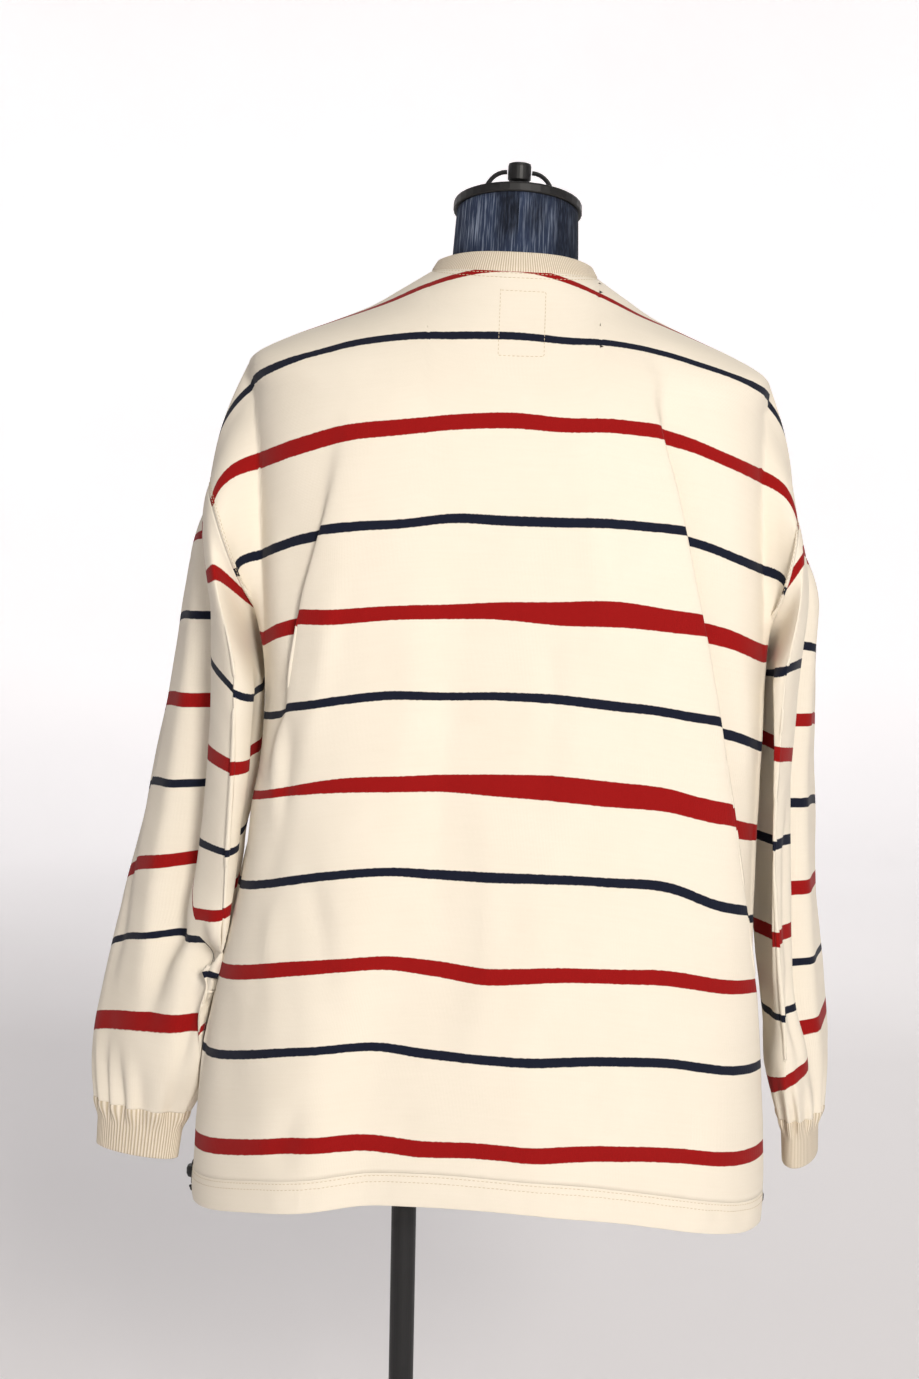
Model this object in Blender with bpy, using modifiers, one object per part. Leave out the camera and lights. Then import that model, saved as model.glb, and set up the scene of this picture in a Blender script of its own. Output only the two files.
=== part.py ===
# Long-sleeve t-shirt worn on a limbless dress form, with its pole and base.
# Metres, +Z up. The origin is the centre of the base's underside.
# The garment's front faces -Y; +X is the wearer's left.
# Cloth points are worked out on the flat pattern: "across" is the distance from the
# centre line and "down" the distance below the high shoulder point.

import bpy
import bmesh
from math import radians
from mathutils import Matrix, Vector
import numpy as np

PART_NAME = "long_sleeve_tshirt_on_form"

# Walls and seams
JERSEY = 0.0016
RIB = 0.0024
CASING_WALL = 0.0030
SEAM_GAP = 0.0004
SHOULDER_GAP = 0.0010
SHOULDER_EASE = 0.020
CASING_GAP = 0.0010

# Flat pattern of the body
NECK_HALF = 0.080
NECK_EDGE = 0.001
SHOULDER_TURN = 0.239
SHOULDER_HALF = 0.350
SHOULDER_DROP = 0.088
CHEST_HALF = 0.356
ARMHOLE = 0.235
UNDERARM = SHOULDER_DROP + ARMHOLE
HEM = 0.792
CASING = 0.028
CASING_OPENING = 0.0032
BACK_NECK_DIP = 0.010
FRONT_NECK_DIP = 0.095

# Where the worn body hangs
LEAN = radians(1.5)
FORM_OFFSET = -0.0785
FORM_OFFSET_LEVEL = 1.40
NECK_SIDE = 0.070
NECK_LEVEL = 1.452
BACK_NECK_LEVEL = 1.450
FRONT_NECK_LEVEL = 1.372
TIP_SIDE = 0.217
TIP_LEVEL = 1.376
HANG_START = 0.26
HANG_DATUM = 1.480
SIDE_DROOP = 0.042
DROOP_POWER = 2.3
TURN_SHARE = 0.028
NUDGE = 0.0015
TURN_DEPTH = 0.090

# Horizontal sections of the worn body, each a rounded oblong
SECTION_COLUMNS = ("level", "left", "right", "back", "front", "square")
SECTIONS = (
    (1.452, 0.0700, 0.0700, 0.068, 0.048, 2.0),
    (1.436, 0.0950, 0.0950, 0.076, 0.060, 2.0),
    (1.420, 0.1210, 0.1210, 0.084, 0.071, 2.0),
    (1.405, 0.1550, 0.1550, 0.092, 0.081, 2.1),
    (1.392, 0.1870, 0.1870, 0.099, 0.089, 2.2),
    (1.376, 0.2170, 0.2170, 0.107, 0.097, 2.3),
    (1.345, 0.2160, 0.2180, 0.121, 0.110, 2.6),
    (1.300, 0.2130, 0.2210, 0.131, 0.124, 3.0),
    (1.180, 0.2090, 0.2330, 0.139, 0.141, 3.3),
    (1.050, 0.2060, 0.2420, 0.142, 0.148, 3.3),
    (0.950, 0.2120, 0.2470, 0.146, 0.151, 3.1),
    (0.860, 0.2280, 0.2520, 0.150, 0.154, 2.9),
    (0.780, 0.2400, 0.2540, 0.156, 0.158, 2.8),
    (0.700, 0.2470, 0.2600, 0.162, 0.163, 2.7),
    (0.620, 0.2470, 0.2600, 0.165, 0.166, 2.7),
)

# The drop shoulder: where its seam ends and how far its two lobes reach
ARM_TOP_SIDE = {"left": 0.2520, "right": 0.2470}
ARM_TOP_FALL = 0.113
ARM_UNDER_FALL = 0.128
ARM_INNER_SIDE = {"left": 0.212, "right": 0.233}
ARM_RIDGE = {"back": 0.086, "front": 0.094}
ARM_SWING = {"back": 0.000, "front": 0.014}
ARM_BULGE = 0.006
ARM_ROUND = 1.5

# Direction of the cloth at the armhole seam, from the top of the seam to the underarm:
# out from the body, over the sleeve head, and down
PANEL_WAY = (
    (0.00, 0.28, 0.00, 0.96),
    (0.25, 0.45, 0.25, 0.86),
    (0.50, 0.80, 0.45, 0.40),
    (0.75, 0.85, 0.45, 0.10),
    (0.90, 0.50, 0.85, 0.00),
    (1.00, 0.05, 1.00, 0.00),
)
SLEEVE_WAY = (
    (0.00, 0.28, 0.00, 0.96),
    (0.25, 0.45, 0.25, 0.86),
    (0.50, 0.80, 0.45, 0.40),
    (0.75, 0.85, 0.40, 0.10),
    (1.00, 0.85, 0.00, 0.50),
)
ARM_FADE = 5.0

# Depth of the hollow that runs down the body under each arm, against the distance down
VALLEY_WIDTH = 0.040
VALLEY_EDGE = 1.2
VALLEY = ((0.10, 0.000), (0.22, 0.026), (0.34, 0.036), (0.50, 0.028), (0.66, 0.014), (0.80, 0.007))

# Lapped folds: the cloth beside each edge slides over the cloth beyond it
LAP_COLUMNS = ("face", "side", "top", "bottom", "across_top", "across_bottom", "bend", "step", "lap", "width")
LAPS = (
    ("back", -1, 0.07, 0.90, 0.118, 0.262, 0.020, 0.019, 0.014, 0.012),
    ("back", 1, 0.14, 0.44, 0.150, 0.226, 0.004, 0.012, 0.012, 0.011),
    ("front", 1, 0.16, 0.84, 0.160, 0.240, 0.010, 0.011, 0.008, 0.012),
    ("front", -1, 0.20, 0.70, 0.175, 0.235, 0.006, 0.009, 0.009, 0.011),
)

LAP_FADE_IN = 0.14
LAP_FADE_OUT = 0.12
LAP_SPREAD = (-1.8, -1.0, -0.4, 0.4, 1.0, 1.8)
LAP_LEAD = 0.6
LAP_EDGE = 0.8
LAP_TAIL = 40.0

# Broad soft waves of the hanging cloth, which fade in below the shoulders
WAVE_START = 0.06
WAVE_EASE = 0.10
WAVE_COLUMNS = ("face", "top", "bottom", "across_top", "across_bottom", "height", "width")
WAVES = (
    ("back", 0.10, 0.86, 0.030, 0.060, -0.0050, 0.045),
    ("back", 0.18, 0.90, -0.060, -0.040, 0.0045, 0.040),
    ("back", 0.40, 0.92, 0.130, 0.150, 0.0070, 0.035),
    ("back", 0.50, 0.92, 0.085, 0.098, -0.0060, 0.026),
    ("front", 0.22, 0.90, -0.030, -0.050, -0.0070, 0.045),
    ("front", 0.25, 0.92, 0.060, 0.095, 0.0080, 0.040),
    ("front", 0.35, 0.92, -0.130, -0.150, 0.0080, 0.036),
)

# Sleeve rings below the armhole: a flat oval that turns from side-on to face-on
SLEEVE_LENGTH = 0.523
SLEEVE_COLUMNS = ("down", "out", "forward", "level", "breadth", "thick", "turn", "tilt", "dip", "dent")
SLEEVES = {
    "left": (
        (0.075, 0.2370, 0.000, 1.146, 0.098, 0.036, 12.0, 0.045, 0.30, 0.008),
        (0.150, 0.2430, 0.002, 1.072, 0.094, 0.040, 16.0, 0.035, 0.30, 0.011),
        (0.250, 0.2570, 0.004, 0.975, 0.090, 0.038, 24.0, 0.024, 0.28, 0.010),
        (0.340, 0.2700, 0.004, 0.885, 0.084, 0.036, 34.0, 0.015, 0.22, 0.007),
        (0.420, 0.2800, 0.002, 0.814, 0.076, 0.033, 45.0, 0.008, 0.12, 0.004),
        (0.480, 0.2900, 0.000, 0.754, 0.066, 0.029, 56.0, 0.003, 0.05, 0.002),
        (0.523, 0.2975, 0.000, 0.708, 0.046, 0.018, 68.0, 0.000, 0.00, 0.000),
    ),
    "right": (
        (0.075, 0.2530, 0.010, 1.146, 0.102, 0.032, 8.0, 0.045, 0.06, 0.006),
        (0.150, 0.2590, 0.018, 1.075, 0.100, 0.031, 11.0, 0.035, 0.08, 0.008),
        (0.250, 0.2660, 0.022, 0.985, 0.097, 0.030, 14.0, 0.024, 0.06, 0.010),
        (0.340, 0.2760, 0.020, 0.896, 0.091, 0.029, 15.0, 0.015, 0.05, 0.010),
        (0.420, 0.2860, 0.016, 0.823, 0.083, 0.028, 16.0, 0.008, 0.03, 0.008),
        (0.480, 0.2900, 0.012, 0.773, 0.070, 0.027, 18.0, 0.003, 0.01, 0.004),
        (0.523, 0.2940, 0.008, 0.730, 0.046, 0.018, 20.0, 0.000, 0.00, 0.000),
    ),
}
SLEEVE_CLEARANCE = 0.0046
SLEEVE_BLEND = 0.085
SLEEVE_CARRY = 0.010
SLEEVE_SPREAD = 0.10
CLEAR_FROM = 0.030
CLEAR_TO = 0.040
SEAM_STEP = 0.0006
SLEEVE_ROWS = (0.0, 0.006, 0.016, 0.032, 0.055, 0.085, 0.15, 0.23, 0.31, 0.38, 0.44, 0.475, 0.50, 0.523)
DENT_WIDTH = 0.55
GATHERS = 12
GATHER_HEIGHT = 0.0022
GATHER_REACH = 0.060

# Rib cuffs and collar
CUFF_LENGTH = 0.042
CUFF_BREADTH = 0.0435
CUFF_THICK = 0.0150
CUFF_NARROW = 0.05
CUFF_SETTLE = 0.45
CUFF_OUT = 0.003
COLLAR_HEIGHT = 0.017
COLLAR_INWARDS = 0.52
COLLAR_FRONT_EASE = 0.10
COLLAR_UPWARDS = 0.86

# Drawcord ends at the side seams
CORD_RADIUS = 0.0013
CORD_OUT = 0.006
CORD_BEND = 0.0058
CORD_DROP = 0.018
LOCK_RADIUS = 0.0056
LOCK_HEIGHT = 0.0100
LOCK_DROP = 0.0012
LOCK_WAIST = 0.80
LOCK_BAND = 0.45
KNOT_RADIUS = 0.0036
KNOT_ROUND = 0.7

# Dress form sections, inside the cloth
FORM_SECTIONS = (
    (1.5030, 0.0515, 0.0515, 0.0515, 2.0),
    (1.4750, 0.0530, 0.0530, 0.0530, 2.0),
    (1.4560, 0.0540, 0.0540, 0.0520, 2.0),
    (1.4430, 0.0560, 0.0570, 0.0480, 2.0),
    (1.4280, 0.0660, 0.0620, 0.0450, 2.0),
    (1.4130, 0.0960, 0.0700, 0.0540, 2.0),
    (1.3990, 0.1400, 0.0800, 0.0680, 2.1),
    (1.3860, 0.1700, 0.0870, 0.0770, 2.2),
    (1.3680, 0.2000, 0.0950, 0.0860, 2.3),
    (1.3400, 0.2060, 0.1100, 0.1010, 2.5),
    (1.2900, 0.1960, 0.1190, 0.1130, 2.5),
    (1.2000, 0.1650, 0.1210, 0.1240, 2.4),
    (1.1000, 0.1500, 0.1130, 0.1190, 2.3),
    (1.0000, 0.1420, 0.1060, 0.1120, 2.3),
    (0.9000, 0.1500, 0.1090, 0.1110, 2.3),
    (0.8000, 0.1580, 0.1140, 0.1120, 2.3),
    (0.7700, 0.1560, 0.1120, 0.1100, 2.3),
)
NECK_TILT = radians(13.0)
NECK_FOOT = 1.456
NECK_RISE = 0.044
FORM_SIDES = 28

# Cap, knob and bail above the neck; levels are above the cap's underside
CAP_RADIUS = 0.0545
CAP_HEIGHT = 0.0085
CAP_DOME = 0.0025
CAP_FLAT = 0.0300
CAP_ROUND = 0.0022
CAP_BEVEL = 0.0008
KNOB_RADIUS = 0.0098
KNOB_TOP = 0.0420
KNOB_ROUND = 0.0030
KNOB_BEVEL = 0.0009
KNOB_HEAD = 0.0140
KNOB_GROOVE = 0.0022
KNOB_FOOT = 0.0131
BAIL_RADIUS = 0.0019
BAIL_FOOT = 0.0290
BAIL_FOOT_LEVEL = 0.0125
BAIL_REACH = 0.0105
BAIL_LEVEL = 0.0340

# Stand
POLE_RADIUS = 0.0112
BASE_RADIUS = 0.1700
BASE_HEIGHT = 0.0100
BASE_ROUND = 0.0030
BOSS_RADIUS = 0.0300
BOSS_HEIGHT = 0.0040
FLANGE_RADIUS = 0.0320
FLANGE_HEIGHT = 0.0060
FLANGE_SLOPE = 0.0020
SOCKET_RADIUS = 0.0152
SOCKET_LENGTH = 0.0300
PIECE_GAP = 0.0003

# Mesh counts
NECK_SHARES = (0.0, 0.25, 0.50, 0.72, 0.88, 1.0)
INNER_STEPS = 3
OUTER_STEPS = 2
EDGE_STRIP = 0.006
NEAR_ROW = 0.2
ARMHOLE_STEPS = 10
SIDE_SEAM_STEPS = 8
SLEEVE_SIDES = ARMHOLE_STEPS * 4
CUFF_ROWS = 3
COLLAR_ROWS = 4
CASING_ROWS = 3
BAIL_STEPS = 8

COLORS = {
    "jersey": ((0.93, 0.86, 0.72), 0.85, 0.0),
    "rib": ((0.88, 0.80, 0.69), 0.90, 0.0),
    "cord": ((0.02, 0.02, 0.02), 0.70, 0.0),
    "denim": ((0.03, 0.07, 0.16), 0.90, 0.0),
    "black_metal": ((0.015, 0.014, 0.014), 0.40, 0.6),
}


def smooth_curve(places, values, at):
    # Cubic through the table's values, with slopes from their neighbours.
    places = np.asarray(places, float)
    values = np.asarray(values, float)
    slopes = np.gradient(values, places)
    at = np.clip(at, places[0], places[-1])
    index = np.clip(np.searchsorted(places, at) - 1, 0, len(places) - 2)
    step = places[index + 1] - places[index]
    t = (at - places[index]) / step
    rise = values[index] * (1 + 2 * t) * (1 - t) ** 2 + values[index + 1] * t * t * (3 - 2 * t)
    return rise + step * (slopes[index] * t * (1 - t) ** 2 - slopes[index + 1] * t * t * (1 - t))


def ease(share):
    share = np.clip(share, 0.0, 1.0)
    return share * share * (3 - 2 * share)


def section_value(column, level):
    rows = np.array(SECTIONS)[::-1]
    return smooth_curve(rows[:, 0], rows[:, SECTION_COLUMNS.index(column)], level)


def side_name(side):
    return "left" if side > 0 else "right"


def seam_side(across):
    # Distance out from the centre, along the neck and the shoulder seam, up to the turn.
    share = np.clip((across - NECK_HALF) / (SHOULDER_TURN - NECK_HALF), 0.0, 1.0)
    inner = np.minimum(across, NECK_HALF) * NECK_SIDE / NECK_HALF
    return inner + share * (TIP_SIDE - NECK_SIDE)


def seam_down(across, face):
    # Pattern distance below the high shoulder point, where each column starts.
    share = np.clip((across - NECK_HALF) / (SHOULDER_HALF - NECK_HALF), 0.0, 1.0)
    dip = BACK_NECK_DIP if face == "back" else FRONT_NECK_DIP
    neck = dip * np.sqrt(1 - np.minimum(across / NECK_HALF, 1.0) ** 2)
    return neck + SHOULDER_DROP * ease(share)


def seam_level(across, side, face):
    # Read back from the sections, so the shoulder seam lies where front and back meet.
    levels = np.linspace(TIP_LEVEL, NECK_LEVEL, 3000)[::-1]
    halves = section_value(side_name(side), levels)
    shoulder = np.interp(seam_side(across), halves, levels)
    low = BACK_NECK_LEVEL if face == "back" else FRONT_NECK_LEVEL
    neck = low + (NECK_LEVEL - low) * (1 - np.sqrt(1 - np.minimum(across / NECK_HALF, 1.0) ** 2))
    return np.where(across < NECK_HALF, neck, shoulder)


def column_place(across, level, side, face):
    # Point of the body on its horizontal section; columns past the turn go round the side.
    half = section_value(side_name(side), level)
    depth = section_value(face, level)
    square = section_value("square", level)
    below = ease((TIP_LEVEL - level) / TURN_DEPTH)
    widen = np.where(level < TIP_LEVEL, half / TIP_SIDE, 1.0)
    out = seam_side(across) * widen * (1 - TURN_SHARE * below)
    share = np.clip(out / half, 0.0, 1.0)
    angle = np.arcsin(share ** (square / 2))
    past = np.clip((across - SHOULDER_TURN) / (CHEST_HALF - SHOULDER_TURN), 0.0, 1.0)
    angle = angle + (np.pi / 2 - angle) * past
    x = half * np.sin(angle) ** (2 / square)
    y = depth * np.maximum(np.cos(angle), 0.0) ** (2 / square)
    return x, y


def hang_level(across, down):
    # Level of a pattern point once the cloth hangs straight down from the shoulders.
    share = np.minimum(across / SHOULDER_TURN, 1.0)
    return HANG_DATUM - down - SIDE_DROOP * share ** DROOP_POWER


def body_levels(across, down, side, face, samples=140):
    # Above the hanging level the cloth's length is spread along its path over the form.
    columns = np.minimum(across, SHOULDER_TURN)
    start = seam_down(columns, face)
    top = seam_level(columns, side, face)
    low = hang_level(columns, HANG_START)
    steps = np.linspace(0.0, 1.0, samples) ** 4
    grid = top[..., None] + (low - top)[..., None] * steps
    x, y = column_place(columns[..., None] + 0 * grid, grid, side, face)
    lengths = np.sqrt(np.diff(x) ** 2 + np.diff(y) ** 2 + np.diff(grid) ** 2)
    lengths = np.concatenate([np.zeros(lengths.shape[:-1] + (1,)), np.cumsum(lengths, -1)], -1)
    share = np.clip((down - start) / (HANG_START - start), 0.0, 1.0).reshape(-1)
    flat_lengths = lengths.reshape(-1, samples)
    flat_grid = grid.reshape(-1, samples)
    levels = [np.interp(h * l[-1], l, g) for h, l, g in zip(share, flat_lengths, flat_grid)]
    levels = np.array(levels).reshape(down.shape)
    return np.where(down > HANG_START, hang_level(columns, down), levels)


def table_rows(table, columns):
    return [dict(zip(columns, row)) for row in table]


def lap_centre(lap, down):
    share = (down - lap["top"]) / (lap["bottom"] - lap["top"])
    line = lap["across_top"] + (lap["across_bottom"] - lap["across_top"]) * share
    return line + lap["bend"] * np.sin(np.pi * np.clip(share, 0.0, 1.0))


def lap_shift(across, down, side, face):
    # Slide of the cloth along the body, and its step inwards, at the lapped folds.
    slide = np.zeros_like(across)
    step = np.zeros_like(across)
    for lap in table_rows(LAPS, LAP_COLUMNS):
        if lap["face"] != face or lap["side"] != side:
            continue
        opened = ease((down - lap["top"]) / LAP_FADE_IN) * ease((lap["bottom"] - down) / LAP_FADE_OUT)
        offset = (across - lap_centre(lap, down)) / lap["width"]
        slide -= opened ** 2 * lap["lap"] * offset * np.exp(0.5 - offset ** 2 / 2)
        beyond = 0.5 + 0.5 * np.tanh(offset / LAP_EDGE)
        step -= opened ** LAP_LEAD * lap["step"] * beyond * np.exp(-np.maximum(offset, 0) ** 2 / LAP_TAIL)
    return slide, step


def wave_height(across, down, side, face):
    signed = across * side
    height = np.zeros_like(across)
    for wave in table_rows(WAVES, WAVE_COLUMNS):
        if wave["face"] != face:
            continue
        share = np.clip((down - wave["top"]) / (wave["bottom"] - wave["top"]), 0.0, 1.0)
        centre = wave["across_top"] + (wave["across_bottom"] - wave["across_top"]) * share
        height += wave["height"] * ease(share * 2) * np.exp(-((signed - centre) / wave["width"]) ** 2)
    return height


def valley_depth(across, down):
    share = np.clip((across - SHOULDER_TURN) / (CHEST_HALF - SHOULDER_TURN), 0.0, 1.0)
    rows = np.array(VALLEY)
    return smooth_curve(rows[:, 0], rows[:, 1], down) * ease(share) ** VALLEY_EDGE


def armhole_place(turn, side, face):
    # The armhole seam round the empty sleeve head, from the top down to the underarm.
    angle = np.pi * turn
    fall = (1 - np.cos(angle)) / 2
    top = ARM_TOP_SIDE[side_name(side)]
    x = top + (ARM_INNER_SIDE[side_name(side)] - top) * fall + ARM_SWING[face] * np.sin(angle) ** ARM_ROUND
    y = ARM_RIDGE[face] * np.sin(angle)
    z = TIP_LEVEL - ARM_TOP_FALL - ARM_UNDER_FALL * fall ** ARM_ROUND
    return np.stack([x, y, z], -1)


def body_outline(side, y, level):
    # How far out the hanging body reaches beside the arm, at a depth and level.
    half = section_value(side_name(side), level)
    depth = np.where(y > 0, section_value("back", level), section_value("front", level))
    square = section_value("square", level)
    share = np.clip(np.abs(y) / depth, 0.0, 1.0)
    reach = half * (1 - share ** square) ** (1 / square)
    rows = np.array(VALLEY)
    hollow = smooth_curve(rows[:, 0], rows[:, 1], HANG_DATUM - level)
    return reach - hollow * np.exp(-(y / VALLEY_WIDTH) ** 2)


def hanging_points(across, down, side, face):
    # The body's cloth without the sleeve head, with +X out and +Y away from the middle.
    slide, step = lap_shift(across, down, side, face)
    placed = across + slide
    level = body_levels(across, down, side, face)
    x, y = column_place(placed, level, side, face)
    x2, y2 = column_place(np.maximum(placed - NUDGE, 0.0), level, side, face)
    along = np.stack([x - x2, y - y2], -1)
    middle = placed < NUDGE * 1.01
    along[middle] = (1.0, 0.0)
    along /= np.maximum(np.linalg.norm(along, axis=-1, keepdims=True), 1e-9)
    fade = ease((down - WAVE_START) / WAVE_EASE)
    out = step + wave_height(across, down, side, face) * fade - valley_depth(across, down)
    return np.stack([x - along[..., 1] * out, y + along[..., 0] * out, level], -1)


def body_points(across, down, side, face):
    # Points of one half of a body panel (across >= 0), before the lean.
    across = np.asarray(across, float)
    down = np.asarray(down, float)
    points = hanging_points(across, down, side, face)
    share = np.clip((across - SHOULDER_TURN) / (SHOULDER_HALF - SHOULDER_TURN), 0.0, 1.0)
    start = seam_down(across, face)
    turn = np.clip((down - start) / (UNDERARM - start), 0.0, 1.0)
    column = across * 0 + SHOULDER_TURN
    start = seam_down(column, face)
    inner = hanging_points(column, start + turn * (UNDERARM - start), side, face)
    share = share[..., None]
    head = inner + (armhole_place(turn, side, face) - inner) * share
    head[..., 0] += ARM_BULGE * np.sin(np.pi * share[..., 0])
    keep = np.where(share > 0, 1 - turn[..., None] ** ARM_FADE, 0.0)
    points = points + (head - points) * keep
    facing = 1.0 if face == "back" else -1.0
    return points * np.array([side, facing, 1.0])


def lean_points(points):
    # The dressed form leans a little on its pole, its neck towards -X.
    points = np.array(points, float)
    x = points[..., 0]
    z = points[..., 2] - FORM_OFFSET_LEVEL
    moved = points.copy()
    moved[..., 0] = FORM_OFFSET + x * np.cos(LEAN) - z * np.sin(LEAN)
    moved[..., 2] = FORM_OFFSET_LEVEL + z * np.cos(LEAN) + x * np.sin(LEAN)
    return moved


def panel_edge(down):
    # Distance from the centre line to the armhole or side seam.
    share = ease((down - SHOULDER_DROP) / ARMHOLE)
    return SHOULDER_HALF + (CHEST_HALF - SHOULDER_HALF) * share - SEAM_GAP / 2


def neck_places():
    # Columns that start on the neck seam; the collar has its corners on the same ones.
    return NECK_HALF * np.array(NECK_SHARES)


def column_places(side, face, down):
    # Columns of one half, closer together where a lapped fold runs.
    edge = panel_edge(down)
    neck = neck_places()
    laps = [l for l in table_rows(LAPS, LAP_COLUMNS) if l["face"] == face and l["side"] == side]
    lap = laps[0]
    centre = lap_centre(lap, np.clip(down, lap["top"], lap["bottom"]))
    near = centre + lap["width"] * np.array(LAP_SPREAD)
    inner = np.linspace(NECK_HALF, near[0], INNER_STEPS + 1)[1:-1]
    turn = max(SHOULDER_TURN, near[-1] + lap["width"])
    outer = np.linspace(turn, edge - EDGE_STRIP, OUTER_STEPS + 1)
    return np.concatenate([neck, inner, near, [(near[-1] + turn) / 2], outer, [edge]])


def panel_grid(face, bottom=HEM - CASING - CASING_GAP):
    # Grid of points from the right edge through the centre to the left edge.
    turns = np.linspace(0.0, 1.0, ARMHOLE_STEPS + 1)
    turns = np.insert(turns, 1, NEAR_ROW * turns[1])
    stations = SHOULDER_DROP + ARMHOLE * turns
    side_seam = np.linspace(UNDERARM, bottom, SIDE_SEAM_STEPS + 1)[1:]
    stations = np.concatenate([stations, side_seam])
    shares = (stations - SHOULDER_DROP) / (bottom - SHOULDER_DROP)
    facing = 1.0 if face == "back" else -1.0
    halves = {}
    for side in (-1, 1):
        points = []
        for share in shares:
            guess = SHOULDER_DROP + share * (bottom - SHOULDER_DROP)
            across = column_places(side, face, guess)
            on_neck = across < NECK_HALF - NECK_EDGE
            start = seam_down(across, face) + np.where(on_neck, SHOULDER_GAP / 2, 0.0)
            down = start + (bottom - start) * share
            row = body_points(across, down, side, face)
            apart = np.where(on_neck, 0.0, SHOULDER_GAP / 2) * np.exp((start - down) / SHOULDER_EASE)
            row[:, 1] += apart * facing
            points.append(row)
        points = np.array(points)
        points[1, -1] = points[0, -1] + (points[2, -1] - points[0, -1]) * NEAR_ROW
        way = armhole_way(PANEL_WAY, turns, side, face)
        points[:len(turns), -2] = points[:len(turns), -1] - way * EDGE_STRIP
        halves[side] = points
    whole = np.concatenate([halves[-1][:, ::-1], halves[1][:, 1:]], axis=1)
    return lean_points(whole)


def armhole_way(table, turn, side, face):
    rows = np.array(table)
    facing = 1.0 if face == "back" else -1.0
    out = smooth_curve(rows[:, 0], rows[:, 1], turn) * side
    inwards = smooth_curve(rows[:, 0], rows[:, 2], turn) * facing
    fall = smooth_curve(rows[:, 0], rows[:, 3], turn)
    way = np.stack([out, -inwards, -fall], -1)
    return way / np.linalg.norm(way, axis=-1, keepdims=True)


def armhole_points(side, angle):
    # Armhole seam and its direction; the angle starts at the top and goes by the back to
    # the underarm, then up the front.
    turn = np.where(angle <= np.pi, angle, 2 * np.pi - angle) / np.pi
    down = SHOULDER_DROP + turn * (ARMHOLE - SEAM_GAP) + SEAM_GAP / 2
    edge = panel_edge(down)
    seam = np.zeros(angle.shape + (3,))
    way = np.zeros(angle.shape + (3,))
    for face, chosen in (("back", angle <= np.pi), ("front", angle > np.pi)):
        seam[chosen] = body_points(edge[chosen], down[chosen], side, face)
        way[chosen] = armhole_way(SLEEVE_WAY, turn[chosen], side, face)
    return seam, way


def sleeve_ring(side, down, angle):
    # One ring of the sleeve, blended from the armhole into the hanging oval.
    table = np.array(SLEEVES[side_name(side)])
    first = table[0, 0]
    values = {}
    for index, column in enumerate(SLEEVE_COLUMNS[1:], start=1):
        values[column] = float(smooth_curve(table[:, 0], table[:, index], max(down, first)))
    values["level"] += max(first - down, 0.0)
    turn = radians(values["turn"])
    gather = ease((down - SLEEVE_LENGTH + GATHER_REACH) / GATHER_REACH)
    lift = GATHER_HEIGHT * gather * np.sin(angle * GATHERS)
    dent = values["dent"] * np.exp(-((np.abs(angle - np.pi) - np.pi) / DENT_WIDTH) ** 2)
    long_way = values["breadth"] * np.sin(angle)
    short_way = values["thick"] * np.cos(angle) - dent
    scale = 1 + lift / np.hypot(long_way, short_way)
    long_way = long_way * scale
    short_way = short_way * scale
    x = values["out"] + short_way * np.cos(turn) - long_way * np.sin(turn)
    y = -values["forward"] + long_way * np.cos(turn) + short_way * np.sin(turn)
    z = values["level"] + values["tilt"] * np.cos(angle) - values["dip"] * (y + values["forward"])
    ring = np.stack([x * side, y, z], -1)
    blend = ease(down / SLEEVE_BLEND)
    seam, way = armhole_points(side, angle)
    carry = SLEEVE_CARRY * (1 - np.exp(-down / SLEEVE_CARRY))
    fall = np.array([SLEEVE_SPREAD * side, 0.0, -1.0]) * (down - carry)
    ring = (seam + way * (SEAM_STEP + carry) + fall) * (1 - blend) + ring * blend
    wanted = body_outline(side, ring[:, 1], ring[:, 2]) + SLEEVE_CLEARANCE
    lack = np.maximum(wanted - ring[:, 0] * side, 0.0)
    ring[:, 0] += lack * side * ease(down / CLEAR_FROM) * ease((SLEEVE_LENGTH - down) / CLEAR_TO)
    return ring


def sleeve_grid(side):
    # The first ring keeps to the straight edges between the panels' armhole corners.
    angle = np.linspace(0.0, 2 * np.pi, SLEEVE_SIDES, endpoint=False)
    rings = np.array([sleeve_ring(side, min(d, SLEEVE_LENGTH - SEAM_GAP), angle) for d in SLEEVE_ROWS])
    rings[0, 1::2] = (rings[0, 0::2] + np.roll(rings[0, 0::2], -1, axis=0)) / 2
    return lean_points(rings)


def cuff_grid(side):
    angle = np.linspace(0.0, 2 * np.pi, SLEEVE_SIDES, endpoint=False)
    end = sleeve_ring(side, SLEEVE_LENGTH - SEAM_GAP, angle)
    centre = end.mean(axis=0)
    turn = radians(SLEEVES[side_name(side)][-1][SLEEVE_COLUMNS.index("turn")])
    x = (CUFF_THICK * np.cos(angle) * np.cos(turn) - CUFF_BREADTH * np.sin(angle) * np.sin(turn)) * side
    y = CUFF_BREADTH * np.sin(angle) * np.cos(turn) + CUFF_THICK * np.cos(angle) * np.sin(turn)
    oval = np.stack([x, y, 0 * x], -1)
    rings = []
    for share in np.linspace(0.0, 1.0, CUFF_ROWS + 1):
        settle = ease(share / CUFF_SETTLE)
        ring = centre + (end - centre) * (1 - settle) + oval * (1 - CUFF_NARROW * share) * settle
        ring[:, 0] += CUFF_OUT * share * side
        ring[:, 2] -= SEAM_STEP + CUFF_LENGTH * share
        rings.append(ring)
    return lean_points(np.array(rings))


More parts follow.
